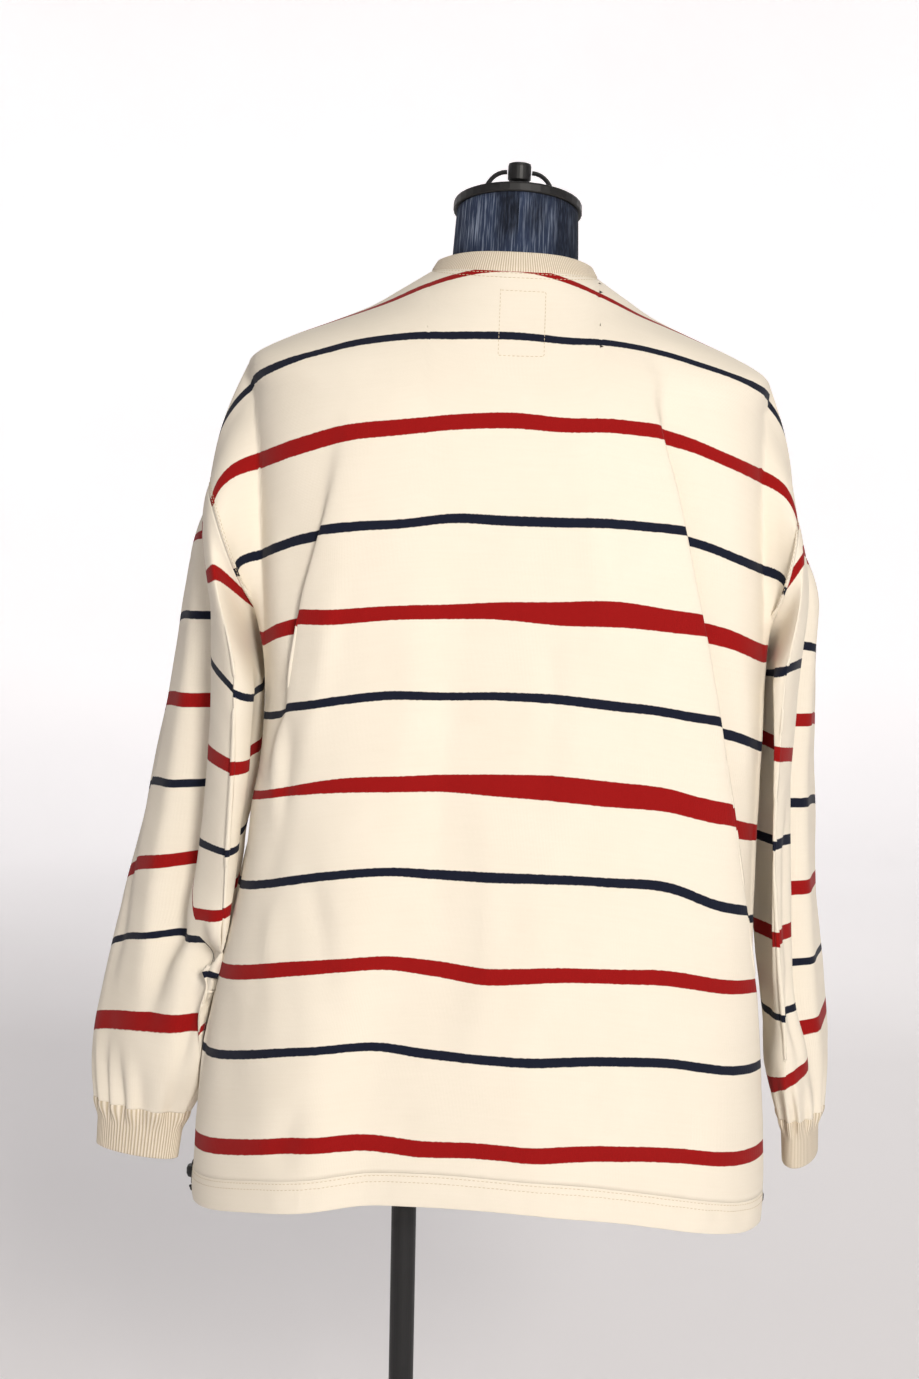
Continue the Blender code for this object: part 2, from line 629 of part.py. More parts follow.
def neck_seam(angle):
    # Neck seam all round; the angle runs from the back, over the left side, to the front.
    folded = np.where(angle <= np.pi, angle, 2 * np.pi - angle)
    side = np.where(angle <= np.pi, 1, -1)
    result = np.zeros(angle.shape + (3,))
    for face in ("back", "front"):
        share = folded / (np.pi / 2) if face == "back" else (np.pi - folded) / (np.pi / 2)
        chosen = folded <= np.pi / 2 if face == "back" else folded > np.pi / 2
        across = NECK_HALF * np.sin(np.clip(share, 0.0, 1.0) * np.pi / 2)
        for half in (1, -1):
            here = chosen & (side == half)
            down = seam_down(across[here], face)
            result[here] = body_points(across[here], down, half, face)
    return result


def collar_grid():
    quarter = np.arcsin(NECK_SHARES)
    half = np.concatenate([quarter[:-1], np.pi - quarter[::-1]])
    angle = np.concatenate([half, 2 * np.pi - half[-2:0:-1]])
    seam = neck_seam(angle)
    inward = -seam * np.array([1.0, 1.0, 0.0])
    inward /= np.linalg.norm(inward, axis=-1, keepdims=True)
    front = ease((0.5 - 0.5 * np.cos(angle)) ** 2)[:, None]
    way = inward * (COLLAR_INWARDS - COLLAR_FRONT_EASE * front) + np.array([0.0, 0.0, COLLAR_UPWARDS])
    way /= np.linalg.norm(way, axis=-1, keepdims=True)
    shares = np.linspace(0.0, 1.0, COLLAR_ROWS)
    rings = [seam + way * (SEAM_STEP + COLLAR_HEIGHT * share) for share in shares]
    return lean_points(np.array(rings)[::-1])


def casing_grid(face):
    # The folded hem, stopping short of the side seam where the cord comes out.
    halves = {}
    edge = CHEST_HALF - CASING_OPENING
    for side in (-1, 1):
        points = []
        for share in np.linspace(0.0, 1.0, CASING_ROWS):
            down = HEM - CASING * (1 - share)
            across = column_places(side, face, down)
            across = np.append(across[:-1], edge)
            points.append(body_points(across, across * 0 + down, side, face))
        halves[side] = np.array(points)
    whole = np.concatenate([halves[-1][:, ::-1], halves[1][:, 1:]], axis=1)
    return lean_points(whole)


def clear_scene():
    for item in list(bpy.data.objects):
        bpy.data.objects.remove(item, do_unlink=True)


def make_material(name):
    color, roughness, metallic = COLORS[name]
    material = bpy.data.materials.new(name)
    material.use_nodes = True
    shader = material.node_tree.nodes["Principled BSDF"]
    shader.inputs["Base Color"].default_value = (*color, 1.0)
    shader.inputs["Roughness"].default_value = roughness
    shader.inputs["Metallic"].default_value = metallic
    return material


def add_object(name, mesh, material, collection):
    item = bpy.data.objects.new(name, mesh)
    mesh.materials.clear()
    mesh.materials.append(material)
    collection.objects.link(item)
    return item


def grid_mesh(name, grid, closed_round):
    # Surface through a grid of points, as quads; the Solidify wall is added afterwards.
    rows, columns = grid.shape[:2]
    shape = bmesh.new()
    points = [[shape.verts.new(Vector(grid[r, c])) for c in range(columns)] for r in range(rows)]
    for r in range(rows - 1):
        for c in range(columns if closed_round else columns - 1):
            nxt = (c + 1) % columns
            shape.faces.new((points[r][c], points[r + 1][c], points[r + 1][nxt], points[r][nxt]))
    mesh = bpy.data.meshes.new(name)
    shape.to_mesh(mesh)
    shape.free()
    mesh.shade_smooth()
    return mesh


def add_wall(item, thickness):
    wall = item.modifiers.new("wall", "SOLIDIFY")
    wall.thickness = thickness
    wall.offset = -1.0
    wall.use_even_offset = False
    return item


def face_outwards(mesh, centre):
    # Turns the faces of an open surface away from a centre line.
    shape = bmesh.new()
    shape.from_mesh(mesh)
    total = 0.0
    for face in shape.faces:
        middle = face.calc_center_median()
        away = Vector((middle.x - centre[0], middle.y - centre[1], 0.0))
        total += face.normal.dot(away) * face.calc_area()
    if total < 0:
        bmesh.ops.reverse_faces(shape, faces=shape.faces)
    shape.to_mesh(mesh)
    shape.free()


def cloth_object(name, grid, closed_round, thickness, material, collection, centre=None):
    mesh = grid_mesh(name, grid, closed_round)
    middle = grid.reshape(-1, 3).mean(axis=0) if centre is None else centre
    face_outwards(mesh, middle)
    return add_wall(add_object(name, mesh, material, collection), thickness)


def turned(name, profile, material, collection, steps=32, bored=False):
    # Turned shape: the profile runs down the outer side, from the axis to the axis, or
    # all the way round a bore.
    mesh = bpy.data.meshes.new(name)
    edges = [(i, i + 1) for i in range(len(profile) - 1)]
    if bored:
        edges.append((len(profile) - 1, 0))
    mesh.from_pydata([(r, 0.0, z) for r, z in profile], edges, [])
    item = add_object(name, mesh, material, collection)
    screw = item.modifiers.new("turn", "SCREW")
    screw.steps = steps
    screw.render_steps = steps
    screw.use_merge_vertices = True
    screw.merge_threshold = 0.0001
    screw.use_smooth_shade = True
    return item


def round_bar(name, points, radius, material, collection):
    # Round wire or cord along points given before the lean.
    curve = bpy.data.curves.new(name, "CURVE")
    curve.dimensions = "3D"
    curve.bevel_depth = radius
    curve.bevel_resolution = 2
    curve.use_fill_caps = True
    spline = curve.splines.new("POLY")
    spline.points.add(len(points) - 1)
    for point, spot in zip(spline.points, lean_points(points)):
        point.co = (*spot, 1.0)
    curve.materials.append(material)
    collection.objects.link(bpy.data.objects.new(name, curve))


def place(item, location, tilt=0.0):
    # Stands a turned piece on the leaning form.
    spot = lean_points(np.array(location, float))
    turn = Matrix.Rotation(-LEAN, 4, "Y") @ Matrix.Rotation(tilt, 4, "X")
    item.matrix_world = Matrix.Translation(Vector(spot)) @ turn
    return item


def build_form(materials, collection):
    # One closed body: horizontal rounded sections, flat at the neck top and the bottom.
    angle = np.linspace(0.0, 2 * np.pi, FORM_SIDES, endpoint=False)
    rings = []
    for level, half, back, front, square in FORM_SECTIONS:
        depth = np.where(np.cos(angle) > 0, back, front)
        x = half * np.sign(np.sin(angle)) * np.abs(np.sin(angle)) ** (2 / square)
        y = depth * np.sign(np.cos(angle)) * np.abs(np.cos(angle)) ** (2 / square)
        neck = ease((level - NECK_FOOT) / NECK_RISE)
        z = level + np.tan(NECK_TILT) * y * neck
        rings.append(np.stack([x, y, z], -1))
    grid = lean_points(np.array(rings))
    mesh = grid_mesh("form_body", grid, True)
    shape = bmesh.new()
    shape.from_mesh(mesh)
    bmesh.ops.holes_fill(shape, edges=[e for e in shape.edges if e.is_boundary], sides=0)
    bmesh.ops.recalc_face_normals(shape, faces=shape.faces)
    shape.to_mesh(mesh)
    shape.free()
    add_object("form_body", mesh, materials["denim"], collection)


def build_cap(materials, collection):
    metal = materials["black_metal"]
    top = FORM_SECTIONS[0][0] + PIECE_GAP
    cap = turned("neck_cap", (
        (0.0, CAP_HEIGHT + CAP_DOME), (CAP_FLAT, CAP_HEIGHT + CAP_DOME * 0.6),
        (CAP_RADIUS - CAP_ROUND, CAP_HEIGHT), (CAP_RADIUS - CAP_BEVEL * 0.6, CAP_HEIGHT - CAP_BEVEL),
        (CAP_RADIUS, CAP_HEIGHT - CAP_ROUND), (CAP_RADIUS, CAP_BEVEL), (CAP_RADIUS - CAP_BEVEL, 0.0),
        (0.0, 0.0)), metal, collection, steps=40)
    place(cap, (0.0, 0.0, top), NECK_TILT)
    groove = KNOB_RADIUS - KNOB_GROOVE
    knob = turned("cap_knob", (
        (0.0, KNOB_TOP), (KNOB_RADIUS - KNOB_ROUND, KNOB_TOP),
        (KNOB_RADIUS - KNOB_BEVEL * 0.7, KNOB_TOP - KNOB_BEVEL), (KNOB_RADIUS, KNOB_TOP - KNOB_ROUND),
        (KNOB_RADIUS, KNOB_TOP - KNOB_HEAD), (groove, KNOB_TOP - KNOB_HEAD - KNOB_GROOVE),
        (groove, KNOB_FOOT), (0.0, KNOB_FOOT)), metal, collection, steps=24)
    place(knob, (0.0, 0.0, top))
    for side in (1, -1):
        build_bail_arm(side, top, metal, collection)


def build_bail_arm(side, top, metal, collection):
    # Bent wire from the cap to the knob's side.
    name = "bail_arm_" + side_name(side)
    points = []
    for angle in np.linspace(0.0, np.pi / 2, BAIL_STEPS + 1):
        x = BAIL_REACH + (BAIL_FOOT - BAIL_REACH) * np.cos(angle)
        z = BAIL_FOOT_LEVEL + (BAIL_LEVEL - BAIL_FOOT_LEVEL) * np.sin(angle)
        points.append((x * side, 0.0, top + z))
    round_bar(name, points, BAIL_RADIUS, metal, collection)


def build_stand(materials, collection):
    # The form's axis has leaned aside at its bottom, so its flange sits over the pole.
    metal = materials["black_metal"]
    level = FORM_SECTIONS[-1][0] - PIECE_GAP
    local = (-FORM_OFFSET + (level - FORM_OFFSET_LEVEL) * np.sin(LEAN)) / np.cos(LEAN)
    flange = turned("form_flange", (
        (0.0, 0.0), (FLANGE_RADIUS, 0.0), (FLANGE_RADIUS, -FLANGE_HEIGHT),
        (SOCKET_RADIUS, -FLANGE_HEIGHT - FLANGE_SLOPE), (SOCKET_RADIUS, -SOCKET_LENGTH),
        (0.0, -SOCKET_LENGTH)), metal, collection, steps=28)
    place(flange, (local, 0.0, level))
    socket_end = lean_points([local, 0.0, level])[2] - SOCKET_LENGTH
    pole_top = socket_end - SOCKET_RADIUS * np.sin(LEAN) - PIECE_GAP
    pole_foot = BASE_HEIGHT + BOSS_HEIGHT + PIECE_GAP
    turned("stand_pole", (
        (0.0, pole_top), (POLE_RADIUS, pole_top), (POLE_RADIUS, pole_foot), (0.0, pole_foot)),
        metal, collection, steps=28)
    turned("base_plate", (
        (0.0, BASE_HEIGHT + BOSS_HEIGHT), (BOSS_RADIUS, BASE_HEIGHT + BOSS_HEIGHT),
        (BOSS_RADIUS + BOSS_HEIGHT, BASE_HEIGHT), (BASE_RADIUS - BASE_ROUND, BASE_HEIGHT),
        (BASE_RADIUS, BASE_HEIGHT - BASE_ROUND), (BASE_RADIUS, 0.0), (0.0, 0.0)),
        metal, collection, steps=56)


def cord_route(side):
    # Out of the casing's end at the side seam, then down through the lock.
    down = HEM - CASING * 0.5
    edge = body_points(np.array([CHEST_HALF]), np.array([down]), side, "back")[0]
    start = np.array([edge[0] - CASING_WALL * 0.5 * side, 0.0, edge[2]])
    points = [start]
    for share in np.linspace(0.0, 1.0, 4)[1:]:
        points.append(start + np.array([CORD_OUT * share * side, 0.0, 0.0]))
    corner = start + np.array([CORD_OUT * side, 0.0, -CORD_BEND])
    for angle in np.linspace(0.0, np.pi / 2, 6)[1:]:
        points.append(corner + CORD_BEND * np.array([np.sin(angle) * side, 0.0, np.cos(angle)]))
    last = points[-1]
    for share in np.linspace(0.0, 1.0, 6)[1:]:
        points.append(last - np.array([0.0, 0.0, CORD_DROP * share]))
    return np.array(points), last


def build_drawcord(side, materials, collection):
    points, turn_end = cord_route(side)
    round_bar("drawcord_" + side_name(side), points, CORD_RADIUS, materials["cord"], collection)

    # Barrel lock with a bore that the cord runs through.
    bore = CORD_RADIUS + PIECE_GAP
    half = LOCK_HEIGHT / 2
    lock = turned("cord_lock_" + side_name(side), (
        (bore, half), (LOCK_RADIUS * LOCK_WAIST, half), (LOCK_RADIUS, half * LOCK_BAND),
        (LOCK_RADIUS, -half * LOCK_BAND), (LOCK_RADIUS * LOCK_WAIST, -half), (bore, -half)),
        materials["cord"], collection, steps=20, bored=True)
    place(lock, turn_end - np.array([0.0, 0.0, half + LOCK_DROP]))

    # Stopper knot on the cord's end.
    round_part = KNOT_RADIUS * KNOT_ROUND
    knot = turned("cord_knot_" + side_name(side), (
        (0.0, KNOT_RADIUS), (round_part, round_part), (KNOT_RADIUS, 0.0),
        (round_part, -round_part), (0.0, -KNOT_RADIUS)), materials["cord"], collection, steps=14)
    place(knot, turn_end - np.array([0.0, 0.0, CORD_DROP + KNOT_RADIUS + PIECE_GAP]))


def build_garment(materials, collection):
    jersey = materials["jersey"]
    rib = materials["rib"]
    axis = (FORM_OFFSET, 0.0)
    cloth_object("shirt_back", panel_grid("back"), False, JERSEY, jersey, collection, axis)
    cloth_object("shirt_front", panel_grid("front"), False, JERSEY, jersey, collection, axis)
    cloth_object("hem_casing_back", casing_grid("back"), False, CASING_WALL, jersey, collection, axis)
    cloth_object("hem_casing_front", casing_grid("front"), False, CASING_WALL, jersey, collection, axis)
    cloth_object("collar_rib", collar_grid(), True, RIB, rib, collection, axis)
    for side in (1, -1):
        name = side_name(side)
        cloth_object("sleeve_" + name, sleeve_grid(side), True, JERSEY, jersey, collection)
        cloth_object("cuff_" + name, cuff_grid(side), True, RIB, rib, collection)
        build_drawcord(side, materials, collection)


def main():
    clear_scene()
    collection = bpy.data.collections.new(PART_NAME)
    bpy.context.scene.collection.children.link(collection)
    materials = {name: make_material(name) for name in COLORS}
    build_garment(materials, collection)
    build_form(materials, collection)
    build_cap(materials, collection)
    build_stand(materials, collection)
    bpy.context.view_layer.update()


main()
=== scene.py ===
import bpy
import bmesh
import numpy as np
from math import radians, pi, cos, sin
from mathutils import Matrix, Vector


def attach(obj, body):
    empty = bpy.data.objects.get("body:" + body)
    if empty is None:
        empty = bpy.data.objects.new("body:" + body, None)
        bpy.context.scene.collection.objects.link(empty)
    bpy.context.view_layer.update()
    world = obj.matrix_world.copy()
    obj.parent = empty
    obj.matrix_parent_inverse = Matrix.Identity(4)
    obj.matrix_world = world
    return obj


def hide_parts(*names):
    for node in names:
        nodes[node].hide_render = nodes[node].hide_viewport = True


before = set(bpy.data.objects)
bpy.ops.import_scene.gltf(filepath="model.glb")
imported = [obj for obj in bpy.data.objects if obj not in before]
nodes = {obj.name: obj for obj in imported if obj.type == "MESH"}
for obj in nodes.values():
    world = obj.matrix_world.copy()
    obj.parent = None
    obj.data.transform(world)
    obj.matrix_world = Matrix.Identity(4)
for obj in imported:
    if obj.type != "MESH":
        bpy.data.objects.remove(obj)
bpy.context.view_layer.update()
print("frame loaded,", len(nodes), "nodes")


# small tools
def ease(share):
    share = np.clip(share, 0.0, 1.0)
    return share * share * (3 - 2 * share)


def smoothCurve(places, values, at):  # cubic through a table, slopes from the neighbours
    places, values = np.asarray(places, float), np.asarray(values, float)
    slopes = np.gradient(values, places)
    at = np.clip(at, places[0], places[-1])
    index = np.clip(np.searchsorted(places, at) - 1, 0, len(places) - 2)
    step = places[index + 1] - places[index]
    t = (at - places[index]) / step
    rise = values[index] * (1 + 2 * t) * (1 - t) ** 2 + values[index + 1] * t * t * (3 - 2 * t)
    return rise + step * (slopes[index] * t * (1 - t) ** 2 - slopes[index + 1] * t * t * (1 - t))


def unit(vectors):
    return vectors / np.maximum(np.linalg.norm(vectors, axis=-1, keepdims=True), 1e-9)


def slowNoise(x, y, seed, size):  # a few crossing sines, the same on every run
    rng = np.random.default_rng(seed)
    total = np.zeros(np.broadcast(x, y).shape)
    for _ in range(7):
        angle, phase = rng.uniform(0, pi), rng.uniform(0, 2 * pi)
        wave = size * rng.uniform(0.7, 1.6)
        total = total + np.sin((x * cos(angle) + y * sin(angle)) * 2 * pi / wave + phase)
    return total / 7


def linear(code):  # sRGB hex to linear, for the shader's colours
    parts = [int(code[i:i + 2], 16) / 255 for i in (1, 3, 5)]
    return tuple(c / 12.92 if c <= 0.04045 else ((c + 0.055) / 1.055) ** 2.4 for c in parts) + (1.0,)


def addNode(tree, kind, links=None, **settings):  # links: {input: value, socket, or node for its first output}
    node = tree.nodes.new(kind)
    for key, value in settings.items():
        setattr(node, key, value)
    for key, value in (links or {}).items():
        if isinstance(value, bpy.types.Node):
            value = next(socket for socket in value.outputs if socket.enabled)
        if isinstance(value, bpy.types.NodeSocket):
            tree.links.new(value, node.inputs[key])
        else:
            node.inputs[key].default_value = value
    return node


# camera: eye level behind the wearer, a little downwards
cameraSizes = {"lens": 50.0, "sensorHeight": 36.0, "pitch": 7.0, "roll": 1.2, "place": (-0.04045, 1.66, 1.30)}


def makeCamera():
    pitch, roll = radians(cameraSizes["pitch"]), radians(cameraSizes["roll"])
    forward = Vector((0, -cos(pitch), -sin(pitch)))
    flatRight, flatUp = Vector((-1, 0, 0)), Vector((0, -sin(pitch), cos(pitch)))
    right = flatRight * cos(roll) + flatUp * sin(roll)
    up = flatUp * cos(roll) - flatRight * sin(roll)
    data = bpy.data.cameras.new("camera")
    data.sensor_fit = "VERTICAL"
    data.sensor_height = cameraSizes["sensorHeight"]
    data.lens = cameraSizes["lens"]
    camera = bpy.data.objects.new("camera", data)
    turned = Matrix((right, up, -forward)).transposed().to_4x4()
    camera.matrix_world = Matrix.Translation(cameraSizes["place"]) @ turned
    bpy.context.scene.collection.objects.link(camera)
    bpy.context.scene.camera = camera


makeCamera()

# the worn shirt's form, in the cut's own sizes (metres)
cut = {
    "neckHalf": 0.080, "shoulderTurn": 0.239, "shoulderHalf": 0.350, "shoulderDrop": 0.088,
    "chestHalf": 0.356, "armhole": 0.235, "hem": 0.792, "casing": 0.028, "backNeckDip": 0.010,
    "frontNeckDip": 0.095, "sleeveLength": 0.523,
}
underarm = cut["shoulderDrop"] + cut["armhole"]

hang = {
    "lean": radians(1.5), "offset": -0.0785, "offsetLevel": 1.40, "neckSide": 0.070, "neckLevel": 1.452,
    "backNeckLevel": 1.450, "frontNeckLevel": 1.372, "tipSide": 0.217, "tipLevel": 1.376, "start": 0.26,
    "datum": 1.480, "droop": 0.042, "droopPower": 2.3, "turnShare": 0.028, "turnDepth": 0.090, "nudge": 0.0015,
}

# level, left half, right half, back depth, front depth, squareness
sections = np.array((
    (1.452, 0.0700, 0.0700, 0.068, 0.048, 2.0),
    (1.436, 0.0950, 0.0950, 0.076, 0.060, 2.0),
    (1.420, 0.1210, 0.1210, 0.084, 0.071, 2.0),
    (1.405, 0.1550, 0.1550, 0.092, 0.081, 2.1),
    (1.392, 0.1870, 0.1870, 0.099, 0.089, 2.2),
    (1.376, 0.2170, 0.2170, 0.107, 0.097, 2.3),
    (1.345, 0.2160, 0.2180, 0.121, 0.110, 2.6),
    (1.300, 0.2130, 0.2210, 0.131, 0.124, 3.0),
    (1.180, 0.2090, 0.2330, 0.139, 0.141, 3.3),
    (1.050, 0.2060, 0.2420, 0.142, 0.148, 3.3),
    (0.950, 0.2120, 0.2470, 0.146, 0.151, 3.1),
    (0.860, 0.2280, 0.2520, 0.150, 0.154, 2.9),
    (0.780, 0.2400, 0.2540, 0.156, 0.158, 2.8),
    (0.700, 0.2470, 0.2600, 0.162, 0.163, 2.7),
    (0.620, 0.2470, 0.2600, 0.165, 0.166, 2.7),
))[::-1]
sectionColumns = {"level": 0, "left": 1, "right": 2, "back": 3, "front": 4, "square": 5}

shoulder = {
    "topSide": {"left": 0.2520, "right": 0.2470}, "topFall": 0.113, "underFall": 0.128,
    "innerSide": {"left": 0.212, "right": 0.233}, "ridge": {"back": 0.086, "front": 0.094},
    "swing": {"back": 0.000, "front": 0.014}, "bulge": 0.006, "fade": 5.0,
}
# turn, out, over the head, down
panelWay = np.array(((0.00, 0.28, 0.00, 0.96), (0.25, 0.45, 0.25, 0.86), (0.50, 0.80, 0.45, 0.40),
                     (0.75, 0.85, 0.45, 0.10), (0.90, 0.50, 0.85, 0.00), (1.00, 0.05, 1.00, 0.00)))
sleeveWay = np.array(((0.00, 0.28, 0.00, 0.96), (0.25, 0.45, 0.25, 0.86), (0.50, 0.80, 0.45, 0.40),
                      (0.75, 0.85, 0.40, 0.10), (1.00, 0.85, 0.00, 0.50)))
valley = {"width": 0.040, "table": np.array(((0.10, 0.000), (0.22, 0.026), (0.34, 0.036), (0.50, 0.028),
                                             (0.66, 0.014), (0.80, 0.007)))}

# face, side, top, bottom, across at top and bottom, bend, step, lap, width
laps = (
    ("back", -1, 0.07, 0.90, 0.118, 0.262, 0.020, 0.019, 0.014, 0.012),
    ("back", 1, 0.14, 0.44, 0.150, 0.226, 0.004, 0.012, 0.012, 0.011),
    ("front", 1, 0.16, 0.84, 0.160, 0.240, 0.010, 0.011, 0.008, 0.012),
    ("front", -1, 0.20, 0.70, 0.175, 0.235, 0.006, 0.009, 0.009, 0.011),
)
lapFade = {"in": 0.14, "out": 0.12}

# face, top, bottom, across at top and bottom (+ is the wearer's left), height, width
broadWaves = (
    ("back", 0.10, 0.86, 0.030, 0.060, -0.0050, 0.045),
    ("back", 0.18, 0.90, -0.060, -0.040, 0.0045, 0.040),
    ("back", 0.40, 0.92, 0.130, 0.150, 0.0070, 0.035),
    ("back", 0.50, 0.92, 0.085, 0.098, -0.0060, 0.026),
    ("front", 0.22, 0.90, -0.030, -0.050, -0.0070, 0.045),
    ("front", 0.25, 0.92, 0.060, 0.095, 0.0080, 0.040),
    ("front", 0.35, 0.92, -0.130, -0.150, 0.0080, 0.036),
)


def sectionValue(column, level):
    return smoothCurve(sections[:, sectionColumns["level"]], sections[:, sectionColumns[column]], level)


def sideName(side):
    return "left" if side > 0 else "right"


def seamSide(across):
    share = np.clip((across - cut["neckHalf"]) / (cut["shoulderTurn"] - cut["neckHalf"]), 0.0, 1.0)
    inner = np.minimum(across, cut["neckHalf"]) * hang["neckSide"] / cut["neckHalf"]
    return inner + share * (hang["tipSide"] - hang["neckSide"])


def neckArc(across):
    return np.sqrt(1 - np.minimum(across / cut["neckHalf"], 1.0) ** 2)


def seamDown(across, face):
    share = np.clip((across - cut["neckHalf"]) / (cut["shoulderHalf"] - cut["neckHalf"]), 0.0, 1.0)
    dip = cut["backNeckDip"] if face == "back" else cut["frontNeckDip"]
    return dip * neckArc(across) + cut["shoulderDrop"] * ease(share)


def seamLevel(across, side, face):
    levels = np.linspace(hang["tipLevel"], hang["neckLevel"], 3000)[::-1]
    onShoulder = np.interp(seamSide(across), sectionValue(sideName(side), levels), levels)
    low = hang["backNeckLevel"] if face == "back" else hang["frontNeckLevel"]
    onNeck = low + (hang["neckLevel"] - low) * (1 - neckArc(across))
    return np.where(across < cut["neckHalf"], onNeck, onShoulder)


def columnPlace(across, level, side, face):
    half, depth, square = (sectionValue(column, level) for column in (sideName(side), face, "square"))
    below = ease((hang["tipLevel"] - level) / hang["turnDepth"])
    widen = np.where(level < hang["tipLevel"], half / hang["tipSide"], 1.0)
    out = seamSide(across) * widen * (1 - hang["turnShare"] * below)
    angle = np.arcsin(np.clip(out / half, 0.0, 1.0) ** (square / 2))
    past = np.clip((across - cut["shoulderTurn"]) / (cut["chestHalf"] - cut["shoulderTurn"]), 0.0, 1.0)
    angle = angle + (pi / 2 - angle) * past
    return half * np.sin(angle) ** (2 / square), depth * np.maximum(np.cos(angle), 0.0) ** (2 / square)


def hangLevel(across, down):
    share = np.minimum(across / cut["shoulderTurn"], 1.0)
    return hang["datum"] - down - hang["droop"] * share ** hang["droopPower"]


def bodyLevels(across, down, side, face, samples=140):
    columns = np.minimum(across, cut["shoulderTurn"])
    start, top = seamDown(columns, face), seamLevel(columns, side, face)
    low = hangLevel(columns, hang["start"])
    grid = top[..., None] + (low - top)[..., None] * np.linspace(0.0, 1.0, samples) ** 4
    x, y = columnPlace(columns[..., None] + 0 * grid, grid, side, face)
    lengths = np.cumsum(np.sqrt(np.diff(x) ** 2 + np.diff(y) ** 2 + np.diff(grid) ** 2), -1)
    lengths = np.concatenate([np.zeros(lengths.shape[:-1] + (1,)), lengths], -1).reshape(-1, samples)
    share = np.clip((down - start) / (hang["start"] - start), 0.0, 1.0).reshape(-1)
    levels = [np.interp(h * l[-1], l, g) for h, l, g in zip(share, lengths, grid.reshape(-1, samples))]
    return np.where(down > hang["start"], hangLevel(columns, down), np.array(levels).reshape(down.shape))


def lengthAbove(face, side):
    # length of cloth along each column, from its start to the level where it hangs free
    columns = np.concatenate([np.linspace(0.0, cut["neckHalf"] - 0.000001, 160),
                              np.linspace(cut["neckHalf"], cut["shoulderTurn"], 60)])
    top = seamLevel(columns, side, face)
    grid = top[:, None] + (hangLevel(columns, hang["start"]) - top)[:, None] * np.linspace(0.0, 1.0, 400) ** 4
    x, y = columnPlace(columns[:, None] + 0 * grid, grid, side, face)
    lengths = np.sqrt(np.diff(x) ** 2 + np.diff(y) ** 2 + np.diff(grid) ** 2).sum(axis=1)
    return columns, lengths


def clothDown(across, down, side, face):
    # distance down the cloth itself, counted from where it starts to hang free
    columns, lengths = lengthAbove(face, side)
    column = np.minimum(across, cut["shoulderTurn"])
    turn = (down - seamDown(across, face)) / (underarm - seamDown(across, face))
    start = seamDown(column, face)
    inner = np.where(across > cut["shoulderTurn"], start + turn * (underarm - start), down)
    share = np.clip((inner - start) / (hang["start"] - start), 0.0, 1.0)
    placed = hang["start"] - (1 - share) * np.interp(column, columns, lengths)
    return np.where(inner < hang["start"], placed + down - inner, down)


def lapCentre(lap, down):
    share = (down - lap[2]) / (lap[3] - lap[2])
    return lap[4] + (lap[5] - lap[4]) * share + lap[6] * np.sin(pi * np.clip(share, 0.0, 1.0))


def lapShift(across, down, side, face):
    slide, step = np.zeros_like(across), np.zeros_like(across)
    for lap in laps:
        if lap[0] != face or lap[1] != side:
            continue
        opened = ease((down - lap[2]) / lapFade["in"]) * ease((lap[3] - down) / lapFade["out"])
        offset = (across - lapCentre(lap, down)) / lap[9]
        slide -= opened ** 2 * lap[8] * offset * np.exp(0.5 - offset ** 2 / 2)
        beyond = 0.5 + 0.5 * np.tanh(offset / 0.8)
        step -= opened ** 0.6 * lap[7] * beyond * np.exp(-np.maximum(offset, 0) ** 2 / 40)
    return slide, step


def waveHeight(across, down, side, face):
    height = np.zeros_like(across)
    for name, top, bottom, acrossTop, acrossBottom, rise, width in broadWaves:
        if name == face:
            share = np.clip((down - top) / (bottom - top), 0.0, 1.0)
            centre = acrossTop + (acrossBottom - acrossTop) * share
            height += rise * ease(share * 2) * np.exp(-((across * side - centre) / width) ** 2)
    return height


def valleyDepth(across, down):
    share = np.clip((across - cut["shoulderTurn"]) / (cut["chestHalf"] - cut["shoulderTurn"]), 0.0, 1.0)
    return smoothCurve(valley["table"][:, 0], valley["table"][:, 1], down) * ease(share) ** 1.2


def armholePlace(turn, side, face):
    angle, name = pi * turn, sideName(side)
    fall = (1 - np.cos(angle)) / 2
    top = shoulder["topSide"][name]
    x = top + (shoulder["innerSide"][name] - top) * fall + shoulder["swing"][face] * np.sin(angle) ** 1.5
    z = hang["tipLevel"] - shoulder["topFall"] - shoulder["underFall"] * fall ** 1.5
    return np.stack([x, shoulder["ridge"][face] * np.sin(angle), z], -1)


def bodyOutline(side, y, level):
    half, square = sectionValue(sideName(side), level), sectionValue("square", level)
    depth = np.where(y > 0, sectionValue("back", level), sectionValue("front", level))
    reach = half * (1 - np.clip(np.abs(y) / depth, 0.0, 1.0) ** square) ** (1 / square)
    hollow = smoothCurve(valley["table"][:, 0], valley["table"][:, 1], hang["datum"] - level)
    return reach - hollow * np.exp(-(y / valley["width"]) ** 2)


def hangingPoints(across, down, side, face):
    slide, step = lapShift(across, down, side, face)
    placed, level = across + slide, bodyLevels(across, down, side, face)
    x, y = columnPlace(placed, level, side, face)
    x2, y2 = columnPlace(np.maximum(placed - hang["nudge"], 0.0), level, side, face)
    along = np.stack([x - x2, y - y2], -1)
    along[placed < hang["nudge"] * 1.01] = (1.0, 0.0)
    along = unit(along)
    fade = ease((down - 0.06) / 0.10)
    out = step + waveHeight(across, down, side, face) * fade - valleyDepth(across, down)
    return np.stack([x - along[..., 1] * out, y + along[..., 0] * out, level], -1)


